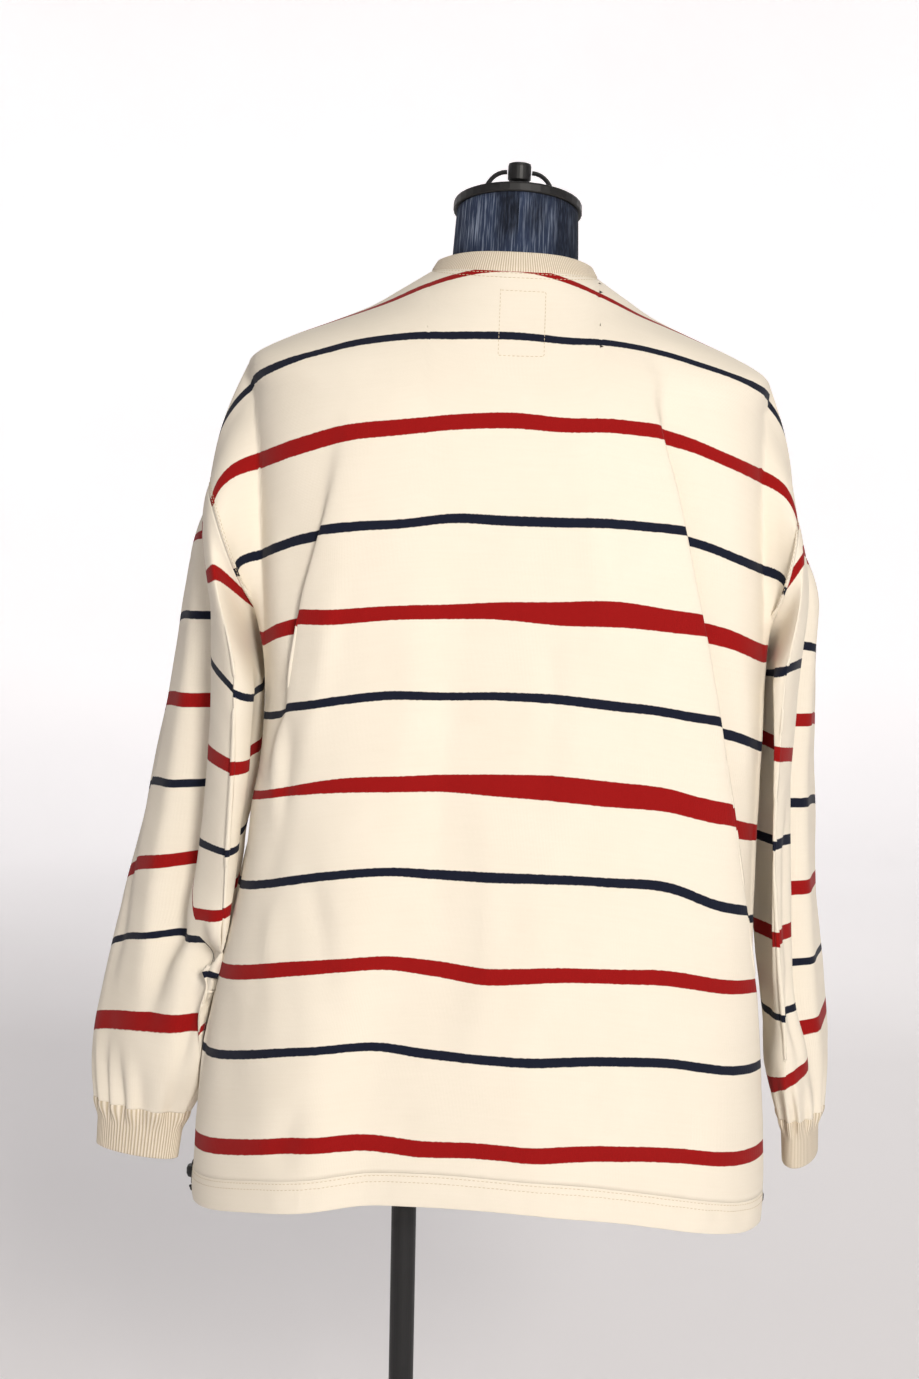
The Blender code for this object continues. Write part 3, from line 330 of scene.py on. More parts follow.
def bodyPoints(across, down, side, face):
    across, down = np.asarray(across, float), np.asarray(down, float)
    points = hangingPoints(across, down, side, face)
    share = np.clip((across - cut["shoulderTurn"]) / (cut["shoulderHalf"] - cut["shoulderTurn"]), 0.0, 1.0)[..., None]
    start = seamDown(across, face)
    turn = np.clip((down - start) / (underarm - start), 0.0, 1.0)
    column = across * 0 + cut["shoulderTurn"]
    start = seamDown(column, face)
    inner = hangingPoints(column, start + turn * (underarm - start), side, face)
    head = inner + (armholePlace(turn, side, face) - inner) * share
    head[..., 0] += shoulder["bulge"] * np.sin(pi * share[..., 0])
    keep = np.where(share > 0, 1 - turn[..., None] ** shoulder["fade"], 0.0)
    points = points + (head - points) * keep
    return points * np.array([side, 1.0 if face == "back" else -1.0, 1.0])


def leanPoints(points):  # the dressed form leans a little on its pole
    points = np.array(points, float)
    x, z = points[..., 0].copy(), points[..., 2] - hang["offsetLevel"]
    points[..., 0] = hang["offset"] + x * cos(hang["lean"]) - z * sin(hang["lean"])
    points[..., 2] = hang["offsetLevel"] + z * cos(hang["lean"]) + x * sin(hang["lean"])
    return points


def panelEdge(down):
    share = ease((down - cut["shoulderDrop"]) / cut["armhole"])
    return cut["shoulderHalf"] + (cut["chestHalf"] - cut["shoulderHalf"]) * share


def wayAtArmhole(table, turn, side, face):
    out, inwards, fall = (smoothCurve(table[:, 0], table[:, k], turn) for k in (1, 2, 3))
    return unit(np.stack([out * side, -inwards * (1.0 if face == "back" else -1.0), -fall], -1))


# creases, placed in the cut's sizes
# path of (across, down) in metres, + across is the wearer's left; height and width in metres
def creaseHeight(across, down, creases):
    total = np.zeros_like(across)
    for number, (path, rise, width) in enumerate(creases):
        path = np.array(path, float)
        lengths = np.concatenate([[0.0], np.cumsum(np.linalg.norm(np.diff(path, axis=0), axis=1))])
        best = np.full(across.shape, 9.0)
        along = np.zeros_like(across)
        for k in range(len(path) - 1):
            way = path[k + 1] - path[k]
            t = ((across - path[k, 0]) * way[0] + (down - path[k, 1]) * way[1]) / (way @ way)
            t = np.clip(t, 0.0, 1.0)
            away = np.hypot(across - path[k, 0] - way[0] * t, down - path[k, 1] - way[1] * t)
            near = away < best
            best = np.where(near, away, best)
            along = np.where(near, lengths[k] + t * (lengths[k + 1] - lengths[k]), along)
        share = along / lengths[-1]
        ends = np.sin(pi * np.clip(share, 0.02, 0.98)) ** 0.7
        uneven = 1 + 0.30 * np.sin(along / 0.031 + number * 1.7) + 0.18 * np.sin(along / 0.013 + number * 2.9)
        wide = width * (1 + 0.25 * np.sin(along / 0.045 + number))
        total += rise * ends * uneven * np.exp(-(best / wide) ** 2)
    return total


backCreases = (
    (((0.228, 0.205), (0.222, 0.30), (0.214, 0.40), (0.205, 0.50)), 0.0032, 0.010),
    (((0.196, 0.26), (0.200, 0.36), (0.207, 0.47), (0.212, 0.56)), -0.0034, 0.013),
    (((0.150, 0.20), (0.168, 0.33), (0.190, 0.44)), 0.0026, 0.013),
    (((0.185, 0.47), (0.150, 0.56), (0.120, 0.66), (0.105, 0.75)), -0.0030, 0.014),
    (((0.205, 0.52), (0.182, 0.62), (0.168, 0.74)), 0.0030, 0.013),
    (((0.228, 0.60), (0.212, 0.68), (0.204, 0.76)), -0.0026, 0.012),
    (((0.090, 0.22), (0.082, 0.35), (0.095, 0.47)), 0.0018, 0.018),
    (((0.040, 0.30), (0.052, 0.45), (0.045, 0.58)), -0.0020, 0.016),
    (((0.010, 0.42), (-0.004, 0.58), (0.012, 0.75)), 0.0024, 0.018),
    (((-0.035, 0.26), (-0.048, 0.38), (-0.040, 0.50)), -0.0020, 0.014),
    (((-0.070, 0.18), (-0.086, 0.30), (-0.110, 0.42)), 0.0018, 0.015),
    (((-0.075, 0.48), (-0.060, 0.62), (-0.068, 0.76)), -0.0022, 0.017),
    (((-0.118, 0.55), (-0.122, 0.66), (-0.112, 0.76)), 0.0024, 0.014),
    (((-0.150, 0.60), (-0.168, 0.69), (-0.170, 0.76)), -0.0022, 0.012),
    (((-0.205, 0.24), (-0.222, 0.33), (-0.232, 0.44)), 0.0022, 0.010),
    (((-0.185, 0.36), (-0.205, 0.48), (-0.222, 0.60)), -0.0022, 0.011),
    (((-0.250, 0.50), (-0.258, 0.62), (-0.262, 0.74)), 0.0028, 0.011),
    (((0.268, 0.30), (0.258, 0.42), (0.252, 0.56)), -0.0030, 0.011),
    (((0.285, 0.42), (0.272, 0.56), (0.262, 0.72)), 0.0034, 0.012),
    (((0.150, 0.70), (0.158, 0.735), (0.154, 0.765)), -0.0028, 0.010),
    (((0.060, 0.71), (0.064, 0.74), (0.058, 0.765)), -0.0022, 0.010),
    (((-0.020, 0.72), (-0.024, 0.745), (-0.020, 0.765)), -0.0018, 0.009),
)

frontCreases = (
    (((0.225, 0.22), (0.215, 0.34), (0.206, 0.46)), 0.0030, 0.011),
    (((-0.228, 0.22), (-0.214, 0.36), (-0.204, 0.50)), 0.0032, 0.012),
    (((0.190, 0.28), (0.160, 0.42), (0.142, 0.58)), -0.0030, 0.014),
    (((-0.190, 0.26), (-0.168, 0.40), (-0.150, 0.56)), -0.0028, 0.013),
    (((0.095, 0.26), (0.072, 0.40), (0.060, 0.56)), 0.0026, 0.016),
    (((-0.085, 0.24), (-0.070, 0.40), (-0.080, 0.58)), 0.0024, 0.016),
    (((0.020, 0.30), (0.004, 0.46), (0.012, 0.64)), -0.0026, 0.018),
    (((0.130, 0.56), (0.118, 0.66), (0.112, 0.76)), 0.0028, 0.014),
    (((-0.130, 0.54), (-0.120, 0.66), (-0.128, 0.76)), -0.0026, 0.014),
    (((0.180, 0.55), (0.186, 0.66), (0.178, 0.76)), -0.0028, 0.013),
    (((-0.180, 0.58), (-0.190, 0.68), (-0.184, 0.76)), 0.0030, 0.013),
    (((-0.035, 0.56), (-0.044, 0.66), (-0.038, 0.76)), 0.0024, 0.015),
    (((0.235, 0.50), (0.226, 0.62), (0.222, 0.75)), 0.0028, 0.012),
    (((-0.240, 0.50), (-0.246, 0.62), (-0.240, 0.75)), -0.0026, 0.012),
    (((0.060, 0.70), (0.066, 0.74), (0.062, 0.765)), -0.0022, 0.010),
    (((-0.100, 0.70), (-0.106, 0.74), (-0.102, 0.765)), -0.0020, 0.010),
)
bodyCreases = {"back": backCreases, "front": frontCreases}


# mesh tools
def gridNormals(grid, closedRound):
    if closedRound:
        along = np.roll(grid, -1, axis=1) - np.roll(grid, 1, axis=1)
    else:
        along = np.gradient(grid, axis=1)
    return unit(np.cross(np.gradient(grid, axis=0), along))


def outwardNormals(grid, closedRound):
    normals = gridNormals(grid, closedRound)
    middle = grid.mean(axis=1, keepdims=True) if closedRound else grid.reshape(-1, 3).mean(axis=0)
    return -normals if (normals * (grid - middle)).sum() < 0 else normals


def joinHalves(halves, places):  # right half, turned round, and left half without their shared column
    left, right = 1, -1
    grid = np.concatenate([halves[right][:, ::-1], halves[left][:, 1:]], axis=1)
    across, down = (np.concatenate([places[right][k][:, ::-1], places[left][k][:, 1:]], axis=1) for k in (0, 1))
    return grid, across, down


def closeMesh(mesh, merge=0.0):  # merged, its ends filled, its faces turned outwards
    shape = bmesh.new()
    shape.from_mesh(mesh)
    if merge:
        bmesh.ops.remove_doubles(shape, verts=shape.verts, dist=merge)
    bmesh.ops.holes_fill(shape, edges=[e for e in shape.edges if e.is_boundary], sides=0)
    bmesh.ops.recalc_face_normals(shape, faces=shape.faces)
    shape.to_mesh(mesh)
    shape.free()


def gridMesh(name, grid, closedRound, cutPlaces, rowNumbers=None, halves=None):
    rows, columns = grid.shape[:2]
    mesh = bpy.data.meshes.new(name)
    count = columns if closedRound else columns - 1
    r, c = np.meshgrid(np.arange(rows - 1), np.arange(count), indexing="ij")
    after = (c + 1) % columns
    corners = np.stack([r * columns + c, (r + 1) * columns + c, (r + 1) * columns + after, r * columns + after], -1)
    mesh.from_pydata(grid.reshape(-1, 3).tolist(), [], corners.reshape(-1, 4).tolist())
    across, down = cutPlaces
    if closedRound:  # the seam column gets its own place on the cut
        width = across[:, :1] * 0 + (across[:, -1:] - across[:, :1]) * columns / (columns - 1)
        across = np.concatenate([across, across[:, :1] + width], 1)
        down = np.concatenate([down, down[:, :1]], 1)
    wide = across.shape[1]
    flat = np.stack([across, down], -1).reshape(-1, 2)
    picks = np.stack([r * wide + c, (r + 1) * wide + c, (r + 1) * wide + c + 1, r * wide + c + 1], -1).reshape(-1)
    layer = mesh.uv_layers.new(name="cut")
    layer.data.foreach_set("uv", flat[picks].reshape(-1))
    if rowNumbers is not None:
        if halves is None:
            halves = stripeHalf(rowNumbers, cutPlaces[0], 60, wideRows)
        for title, values in (("stripeRow", rowNumbers), ("stripeHalf", halves)):
            layer = mesh.attributes.new(title, "FLOAT", "POINT")
            layer.data.foreach_set("value", values.reshape(-1).astype(np.float32))
    mesh.shade_smooth()
    return mesh


def addPiece(name, mesh, material):
    piece = bpy.data.objects.new(name, mesh)
    mesh.materials.clear()
    mesh.materials.append(material)
    bpy.context.scene.collection.objects.link(piece)
    return piece


def faceOutwards(mesh, centre):
    shape = bmesh.new()
    shape.from_mesh(mesh)
    total = 0.0
    for f in shape.faces:
        middle = f.calc_center_median()
        total += f.normal.dot(Vector((middle.x - centre[0], middle.y - centre[1], 0.0))) * f.calc_area()
    if total < 0:
        bmesh.ops.reverse_faces(shape, faces=shape.faces)
    shape.to_mesh(mesh)
    shape.free()


def addWall(piece, thickness):
    wall = piece.modifiers.new("wall", "SOLIDIFY")
    wall.thickness = thickness
    wall.offset = -1.0
    wall.use_even_offset = False
    return piece


# stripes of the jersey, whole even numbers are red rows and odd ones navy
stripes = {"redHalf": 0.0062, "navyHalf": 0.0038, "spacing": 0.073, "uneven": 0.16, "unevenSize": 0.16}
# where each row runs on the body, in metres down the cloth, at these distances across (+ is the wearer's left)
stripeColumns = (-0.25, -0.20, -0.15, -0.10, -0.05, 0.0, 0.05, 0.10, 0.15, 0.20, 0.25)
stripeRows = (
    (0.0100, 0.0110, 0.0120, 0.0170, 0.0175, 0.0160, 0.0150, 0.0120, 0.0105, 0.0110, 0.0110),
    (0.0700, 0.0694, 0.0680, 0.0708, 0.0779, 0.0780, 0.0776, 0.0735, 0.0720, 0.0768, 0.0780),
    (0.1454, 0.1455, 0.1440, 0.1468, 0.1525, 0.1520, 0.1541, 0.1558, 0.1535, 0.1533, 0.1524),
    (0.2234, 0.2230, 0.2205, 0.2252, 0.2304, 0.2323, 0.2310, 0.2330, 0.2294, 0.2280, 0.2304),
    (0.2928, 0.2905, 0.2929, 0.2965, 0.3028, 0.3039, 0.3055, 0.3036, 0.3005, 0.2940, 0.3010),
    (0.3721, 0.3675, 0.3665, 0.3700, 0.3708, 0.3721, 0.3735, 0.3695, 0.3676, 0.3655, 0.3642),
    (0.4462, 0.4415, 0.4375, 0.4415, 0.4425, 0.4438, 0.4438, 0.4418, 0.4372, 0.4336, 0.4314),
    (0.5222, 0.5180, 0.5085, 0.5130, 0.5162, 0.5188, 0.5185, 0.5130, 0.5109, 0.5102, 0.5095),
    (0.5810, 0.5816, 0.5838, 0.5905, 0.5955, 0.6005, 0.5956, 0.5890, 0.5872, 0.5861, 0.5860),
    (0.6510, 0.6520, 0.6540, 0.6601, 0.6665, 0.6676, 0.6655, 0.6585, 0.6562, 0.6568, 0.6575),
    (0.7226, 0.7275, 0.7305, 0.7362, 0.7424, 0.7428, 0.7445, 0.7385, 0.7355, 0.7366, 0.7370),
)
# rows that are knitted wider in places: row, across, width of that place, growth
wideRows = ((0, 0.0, 0.15, -0.50), (4, -0.10, 0.11, 0.70), (6, -0.08, 0.12, 0.75), (2, -0.20, 0.05, -0.15),
            (6, 0.22, 0.05, -0.35))
headRows = ((0, 0.0, 1.0, -0.30),)


def rowBetween(down, places):  # row number at a distance down, from the rows' own distances
    steps = np.diff(places, axis=-1)
    shares = (down[..., None] - places[..., :-1]) / steps
    inside = np.clip(shares, 0.0, 1.0).sum(axis=-1)
    return inside + np.minimum(shares[..., 0], 0.0) + np.maximum(shares[..., -1] - 1, 0.0)


def stripeRow(across, down):
    return rowBetween(down, np.stack([smoothCurve(stripeColumns, row, across) for row in stripeRows], -1))


def stripeHalf(row, across, seed, uneven):  # half width of the nearest stripe, as a share of the rows' spacing
    nearest = np.round(row)
    half = np.where(nearest % 2 == 0, stripes["redHalf"], stripes["navyHalf"]) / stripes["spacing"]
    for number, middle, wide, growth in uneven:
        half = half * (1 + growth * np.exp(-((across - middle) / wide) ** 2) * (nearest == number))
    return half * (1 + stripes["uneven"] * slowNoise(across, nearest * 0.3, seed, stripes["unevenSize"]))


# finishes
def newMaterial(name):
    material = bpy.data.materials.new(name)
    material.use_nodes = True
    tree = material.node_tree
    return material, tree, tree.nodes["Principled BSDF"]


def knitHeight(tree, coords, wale, course):
    # columns of knit loops, each a soft V: wale is their width, course their height, in metres
    split = addNode(tree, "ShaderNodeSeparateXYZ", {0: coords})
    u = addNode(tree, "ShaderNodeMath", {0: split.outputs[0], 1: 2 * pi / wale}, operation="MULTIPLY")
    halfTurn = addNode(tree, "ShaderNodeMath", {0: u, 1: 0.5}, operation="MULTIPLY")
    wave = addNode(tree, "ShaderNodeMath", {0: halfTurn}, operation="SINE")
    bend = addNode(tree, "ShaderNodeMath", {0: wave}, operation="ABSOLUTE")
    lean = addNode(tree, "ShaderNodeMath", {0: bend, 1: 1.6}, operation="MULTIPLY")
    v = addNode(tree, "ShaderNodeMath", {0: split.outputs[1], 1: 2 * pi / course, 2: lean}, operation="MULTIPLY_ADD")
    columns = addNode(tree, "ShaderNodeMath", {0: u}, operation="COSINE")
    courses = addNode(tree, "ShaderNodeMath", {0: v}, operation="COSINE")
    low = addNode(tree, "ShaderNodeMath", {0: courses, 1: 0.35}, operation="MULTIPLY")
    return addNode(tree, "ShaderNodeMath", {0: columns, 1: -0.5, 2: low}, operation="MULTIPLY_ADD")


def setCloth(shader, roughness):  # matt cotton with a faint fuzz
    shader.inputs["Roughness"].default_value = roughness
    shader.inputs["Sheen Weight"].default_value = 0.06
    shader.inputs["Sheen Roughness"].default_value = 0.55
    shader.inputs["Specular IOR Level"].default_value = 0.15


jerseyLook = {
    "cream": "#EDE5D6", "creamDark": "#E3D9C7", "red": "#9B0C0B", "redDark": "#860A0A", "navy": "#121728",
    "wale": 0.0012, "course": 0.0010, "bump": 0.14, "roughness": 0.88,
}


def makeJersey():
    # combed cotton jersey, yarn dyed: matt, with fine upright columns of loops and a little fuzz
    material, tree, shader = newMaterial("cotton_jersey_yarn_dyed")
    coords = addNode(tree, "ShaderNodeUVMap", uv_map="cut")
    cloud = addNode(tree, "ShaderNodeTexNoise", {"Vector": coords, "Scale": 14.0, "Detail": 4.0})
    fleck = addNode(tree, "ShaderNodeTexNoise", {"Vector": coords, "Scale": 900.0, "Detail": 2.0})
    slub = addNode(tree, "ShaderNodeMapping", {"Vector": coords, "Scale": (20.0, 420.0, 1.0)})
    slubs = addNode(tree, "ShaderNodeTexNoise", {"Vector": slub, "Scale": 1.0, "Detail": 2.0})
    cloudPart = addNode(tree, "ShaderNodeMath", {0: cloud, 1: 0.5}, operation="MULTIPLY")
    fleckPart = addNode(tree, "ShaderNodeMath", {0: fleck, 1: 0.35, 2: cloudPart}, operation="MULTIPLY_ADD")
    shade = addNode(tree, "ShaderNodeMath", {0: slubs, 1: 0.30, 2: fleckPart}, operation="MULTIPLY_ADD")
    cream = addNode(tree, "ShaderNodeMix",
                    {0: shade, 6: linear(jerseyLook["creamDark"]), 7: linear(jerseyLook["cream"])}, data_type="RGBA")
    red = addNode(tree, "ShaderNodeMix", {0: fleck, 6: linear(jerseyLook["redDark"]), 7: linear(jerseyLook["red"])},
                  data_type="RGBA")
    # stripes: how far a place is from its nearest row, against that row's own half width
    row = addNode(tree, "ShaderNodeAttribute", attribute_name="stripeRow").outputs["Fac"]
    half = addNode(tree, "ShaderNodeAttribute", attribute_name="stripeHalf").outputs["Fac"]
    ragged = addNode(tree, "ShaderNodeTexNoise", {"Vector": coords, "Scale": 260.0, "Detail": 1.0})
    loose = addNode(tree, "ShaderNodeMath", {0: ragged, 1: 0.012, 2: row}, operation="MULTIPLY_ADD")
    nearest = addNode(tree, "ShaderNodeMath", {0: loose}, operation="ROUND")
    apart = addNode(tree, "ShaderNodeMath", {0: loose, 1: nearest}, operation="SUBTRACT")
    away = addNode(tree, "ShaderNodeMath", {0: apart}, operation="ABSOLUTE")
    rest = addNode(tree, "ShaderNodeMath", {0: nearest, 1: 2.0}, operation="FLOORED_MODULO")
    edge = addNode(tree, "ShaderNodeMath", {0: half, 1: away}, operation="SUBTRACT")
    inside = addNode(tree, "ShaderNodeMapRange", {"Value": edge, "From Min": -0.004, "From Max": 0.004})
    stripe = addNode(tree, "ShaderNodeMix", {0: rest, 6: red, 7: linear(jerseyLook["navy"])}, data_type="RGBA")
    color = addNode(tree, "ShaderNodeMix", {0: inside, 6: cream, 7: stripe}, data_type="RGBA")
    tree.links.new(color.outputs[2], shader.inputs["Base Color"])
    setCloth(shader, jerseyLook["roughness"])
    knit = knitHeight(tree, coords, jerseyLook["wale"], jerseyLook["course"])
    height = addNode(tree, "ShaderNodeMath", {0: fleck, 1: 0.8, 2: knit}, operation="MULTIPLY_ADD")
    bump = addNode(tree, "ShaderNodeBump", {"Strength": jerseyLook["bump"], "Distance": 0.0006, "Height": height})
    tree.links.new(bump.outputs[0], shader.inputs["Normal"])
    return material


ribLook = {"cream": "#EADFCE", "groove": "#B7A688", "spacing": 0.0026, "wale": 0.0013, "course": 0.0011,
           "roughness": 0.9}


def makeRib():
    # one-by-one rib knit: raised columns, with painted shade darkening the furrows between them
    material, tree, shader = newMaterial("cotton_rib_knit")
    coords = addNode(tree, "ShaderNodeUVMap", uv_map="cut")
    split = addNode(tree, "ShaderNodeSeparateXYZ", {0: coords})
    turn = addNode(tree, "ShaderNodeMath", {0: split.outputs[0], 1: 2 * pi / ribLook["spacing"]},
                   operation="MULTIPLY")
    wave = addNode(tree, "ShaderNodeMath", {0: turn}, operation="COSINE")
    raised = addNode(tree, "ShaderNodeMath", {0: wave, 1: 0.5, 2: 0.5}, operation="MULTIPLY_ADD")
    fleck = addNode(tree, "ShaderNodeTexNoise", {"Vector": coords, "Scale": 900.0, "Detail": 2.0})
    fleckPart = addNode(tree, "ShaderNodeMath", {0: fleck, 1: 0.3}, operation="MULTIPLY")
    share = addNode(tree, "ShaderNodeMath", {0: raised, 1: 0.9, 2: fleckPart}, operation="MULTIPLY_ADD")
    # the furrows get the darker colour as painted shade, following the raised wave
    color = addNode(tree, "ShaderNodeMix", {0: share, 6: linear(ribLook["groove"]), 7: linear(ribLook["cream"])},
                    data_type="RGBA")
    tree.links.new(color.outputs[2], shader.inputs["Base Color"])
    setCloth(shader, ribLook["roughness"])
    knit = knitHeight(tree, coords, ribLook["wale"], ribLook["course"])
    height = addNode(tree, "ShaderNodeMath", {0: knit, 1: 0.25, 2: raised}, operation="MULTIPLY_ADD")
    bump = addNode(tree, "ShaderNodeBump", {"Strength": 0.5, "Distance": 0.0009, "Height": height})
    tree.links.new(bump.outputs[0], shader.inputs["Normal"])
    return material


denimLook = {"indigo": "#2A344A", "deep": "#10141F", "slub": "#8F9AAE", "worn": "#3F4C63", "roughness": 0.92,
             "darkPlace": 0.262}


def makeDenim():
    # indigo slub denim: white weft shows as light upright streaks on a dark warp
    material, tree, shader = newMaterial("indigo_slub_denim")
    coords = addNode(tree, "ShaderNodeUVMap", uv_map="cut")
    streakSpace = addNode(tree, "ShaderNodeMapping", {"Vector": coords, "Scale": (520.0, 34.0, 1.0)})
    streaks = addNode(tree, "ShaderNodeTexNoise",
                      {"Vector": streakSpace, "Scale": 1.0, "Detail": 3.0, "Roughness": 0.6})
    threadSpace = addNode(tree, "ShaderNodeMapping", {"Vector": coords, "Scale": (700.0, 150.0, 1.0)})
    threads = addNode(tree, "ShaderNodeTexNoise", {"Vector": threadSpace, "Scale": 1.0})
    patch = addNode(tree, "ShaderNodeTexNoise", {"Vector": coords, "Scale": 17.0, "Detail": 1.0})
    # indigo is paler in the high noise patches and stays deep in a band round u = darkPlace, on the wearer's right
    # side of the neck
    split = addNode(tree, "ShaderNodeSeparateXYZ", {0: coords})
    apart = addNode(tree, "ShaderNodeMath", {0: split.outputs[0], 1: denimLook["darkPlace"]}, operation="SUBTRACT")
    aside = addNode(tree, "ShaderNodeMath", {0: apart}, operation="ABSOLUTE")
    lightPart = addNode(tree, "ShaderNodeMapRange",
                        {"Value": aside, "From Min": 0.034, "From Max": 0.046, "To Min": 0.15})
    faded = addNode(tree, "ShaderNodeMapRange", {"Value": patch, "From Min": 0.36, "From Max": 0.52})
    paleShare = addNode(tree, "ShaderNodeMath", {0: faded, 1: lightPart}, operation="MULTIPLY")
    base = addNode(tree, "ShaderNodeMix", {0: paleShare, 6: linear(denimLook["deep"]), 7: linear(denimLook["indigo"])},
                   data_type="RGBA")
    streak = addNode(tree, "ShaderNodeMapRange", {"Value": streaks, "From Min": 0.50, "From Max": 0.74})
    streakAmount = addNode(tree, "ShaderNodeMath", {0: paleShare, 1: 0.9, 2: 0.1}, operation="MULTIPLY_ADD")
    mask = addNode(tree, "ShaderNodeMath", {0: streak, 1: streakAmount}, operation="MULTIPLY")
    fine = addNode(tree, "ShaderNodeMapRange", {"Value": threads, "From Min": 0.45, "From Max": 0.75, "To Max": 0.35})
    worn = addNode(tree, "ShaderNodeMix", {0: fine, 6: base, 7: linear(denimLook["worn"])}, data_type="RGBA")
    color = addNode(tree, "ShaderNodeMix", {0: mask, 6: worn, 7: linear(denimLook["slub"])}, data_type="RGBA")
    tree.links.new(color.outputs[2], shader.inputs["Base Color"])
    shader.inputs["Roughness"].default_value = denimLook["roughness"]
    shader.inputs["Specular IOR Level"].default_value = 0.2
    height = addNode(tree, "ShaderNodeMath", {0: threads, 1: 0.6, 2: streaks}, operation="MULTIPLY_ADD")
    bump = addNode(tree, "ShaderNodeBump", {"Strength": 0.5, "Distance": 0.0006, "Height": height})
    tree.links.new(bump.outputs[0], shader.inputs["Normal"])
    return material


def makeBlackPaint(name, color, roughness, grain):
    # stoved black paint on steel, or moulded black plastic: satin, faint orange peel, soft dull patches
    material, tree, shader = newMaterial(name)
    coords = addNode(tree, "ShaderNodeTexCoord").outputs["Object"]
    peel = addNode(tree, "ShaderNodeTexNoise", {"Vector": coords, "Scale": grain, "Detail": 2.0})
    dull = addNode(tree, "ShaderNodeTexNoise", {"Vector": coords, "Scale": 22.0, "Detail": 3.0})
    tone = addNode(tree, "ShaderNodeMix", {0: dull, 6: linear(color), 7: linear("#111012")}, data_type="RGBA")
    tree.links.new(tone.outputs[2], shader.inputs["Base Color"])
    rough = addNode(tree, "ShaderNodeMapRange",
                    {"Value": dull, "To Min": roughness - 0.06, "To Max": roughness + 0.08})
    tree.links.new(rough.outputs[0], shader.inputs["Roughness"])
    bump = addNode(tree, "ShaderNodeBump", {"Strength": 0.12, "Distance": 0.0004, "Height": peel})
    tree.links.new(bump.outputs[0], shader.inputs["Normal"])
    return material


def makeCordBraid():
    # braided polyester cord: small crossing plaits, slightly silky, with painted shade in the hollows between them
    material, tree, shader = newMaterial("black_polyester_braid")
    coords = addNode(tree, "ShaderNodeUVMap", uv_map="cut")
    split = addNode(tree, "ShaderNodeSeparateXYZ", {0: coords})
    plaits = 2 * pi / 0.0016
    u = addNode(tree, "ShaderNodeMath", {0: split.outputs[0], 1: plaits}, operation="MULTIPLY")
    there = addNode(tree, "ShaderNodeMath", {0: split.outputs[1], 1: plaits, 2: u}, operation="MULTIPLY_ADD")
    back = addNode(tree, "ShaderNodeMath", {0: split.outputs[1], 1: -plaits, 2: u}, operation="MULTIPLY_ADD")
    first = addNode(tree, "ShaderNodeMath", {0: there}, operation="SINE")
    second = addNode(tree, "ShaderNodeMath", {0: back}, operation="SINE")
    plait = addNode(tree, "ShaderNodeMath", {0: first, 1: second}, operation="MULTIPLY")
    share = addNode(tree, "ShaderNodeMath", {0: plait, 1: 0.5, 2: 0.5}, operation="MULTIPLY_ADD")
    # darker where the plait height is low: painted shade in the hollows
    tone = addNode(tree, "ShaderNodeMix", {0: share, 6: linear("#09090A"), 7: linear("#1B1A1C")}, data_type="RGBA")
    tree.links.new(tone.outputs[2], shader.inputs["Base Color"])
    shader.inputs["Roughness"].default_value = 0.62
    bump = addNode(tree, "ShaderNodeBump", {"Strength": 0.6, "Distance": 0.0004, "Height": plait})
    tree.links.new(bump.outputs[0], shader.inputs["Normal"])
    return material


def makeThread():
    # mercerised sewing thread: a little darker and glossier than the jersey
    material, tree, shader = newMaterial("sewing_thread")
    coords = addNode(tree, "ShaderNodeTexCoord").outputs["Object"]
    twist = addNode(tree, "ShaderNodeTexNoise", {"Vector": coords, "Scale": 1500.0})
    tone = addNode(tree, "ShaderNodeMix", {0: twist, 6: linear("#B9A786"), 7: linear("#DCCDB0")}, data_type="RGBA")
    tree.links.new(tone.outputs[2], shader.inputs["Base Color"])
    shader.inputs["Roughness"].default_value = 0.6
    return material


jersey, rib, denim, braid, thread = makeJersey(), makeRib(), makeDenim(), makeCordBraid(), makeThread()
blackPaint = makeBlackPaint("black_stoved_paint", "#060606", 0.5, 900.0)
blackPlastic = makeBlackPaint("moulded_black_abs", "#0E0E10", 0.48, 1600.0)
print("finishes made")

# drawcord ends at the side seams
cordSizes = {"radius": 0.0013, "out": 0.006, "bend": 0.0058, "drop": 0.018, "wall": 0.0030, "knotTube": 0.0011,
             "knotRadius": 0.0036, "knotScale": 0.00072, "gap": 0.0003}


def cordRoute(side):
    down = cut["hem"] - cut["casing"] * 0.5
    edge = bodyPoints(np.array([cut["chestHalf"]]), np.array([down]), side, "back")[0]
    start = np.array([edge[0] - cordSizes["wall"] * 0.5 * side, 0.0, edge[2]])
    points = [start]
    for share in np.linspace(0.0, 1.0, 4)[1:]:
        points.append(start + np.array([cordSizes["out"] * share * side, 0.0, 0.0]))
    corner = start + np.array([cordSizes["out"] * side, 0.0, -cordSizes["bend"]])
    for angle in np.linspace(0.0, pi / 2, 6)[1:]:
        points.append(corner + cordSizes["bend"] * np.array([sin(angle) * side, 0.0, cos(angle)]))
    last = points[-1]
    for share in np.linspace(0.0, 1.0, 6)[1:]:
        points.append(last - np.array([0.0, 0.0, cordSizes["drop"] * share]))
    return np.array(points), last


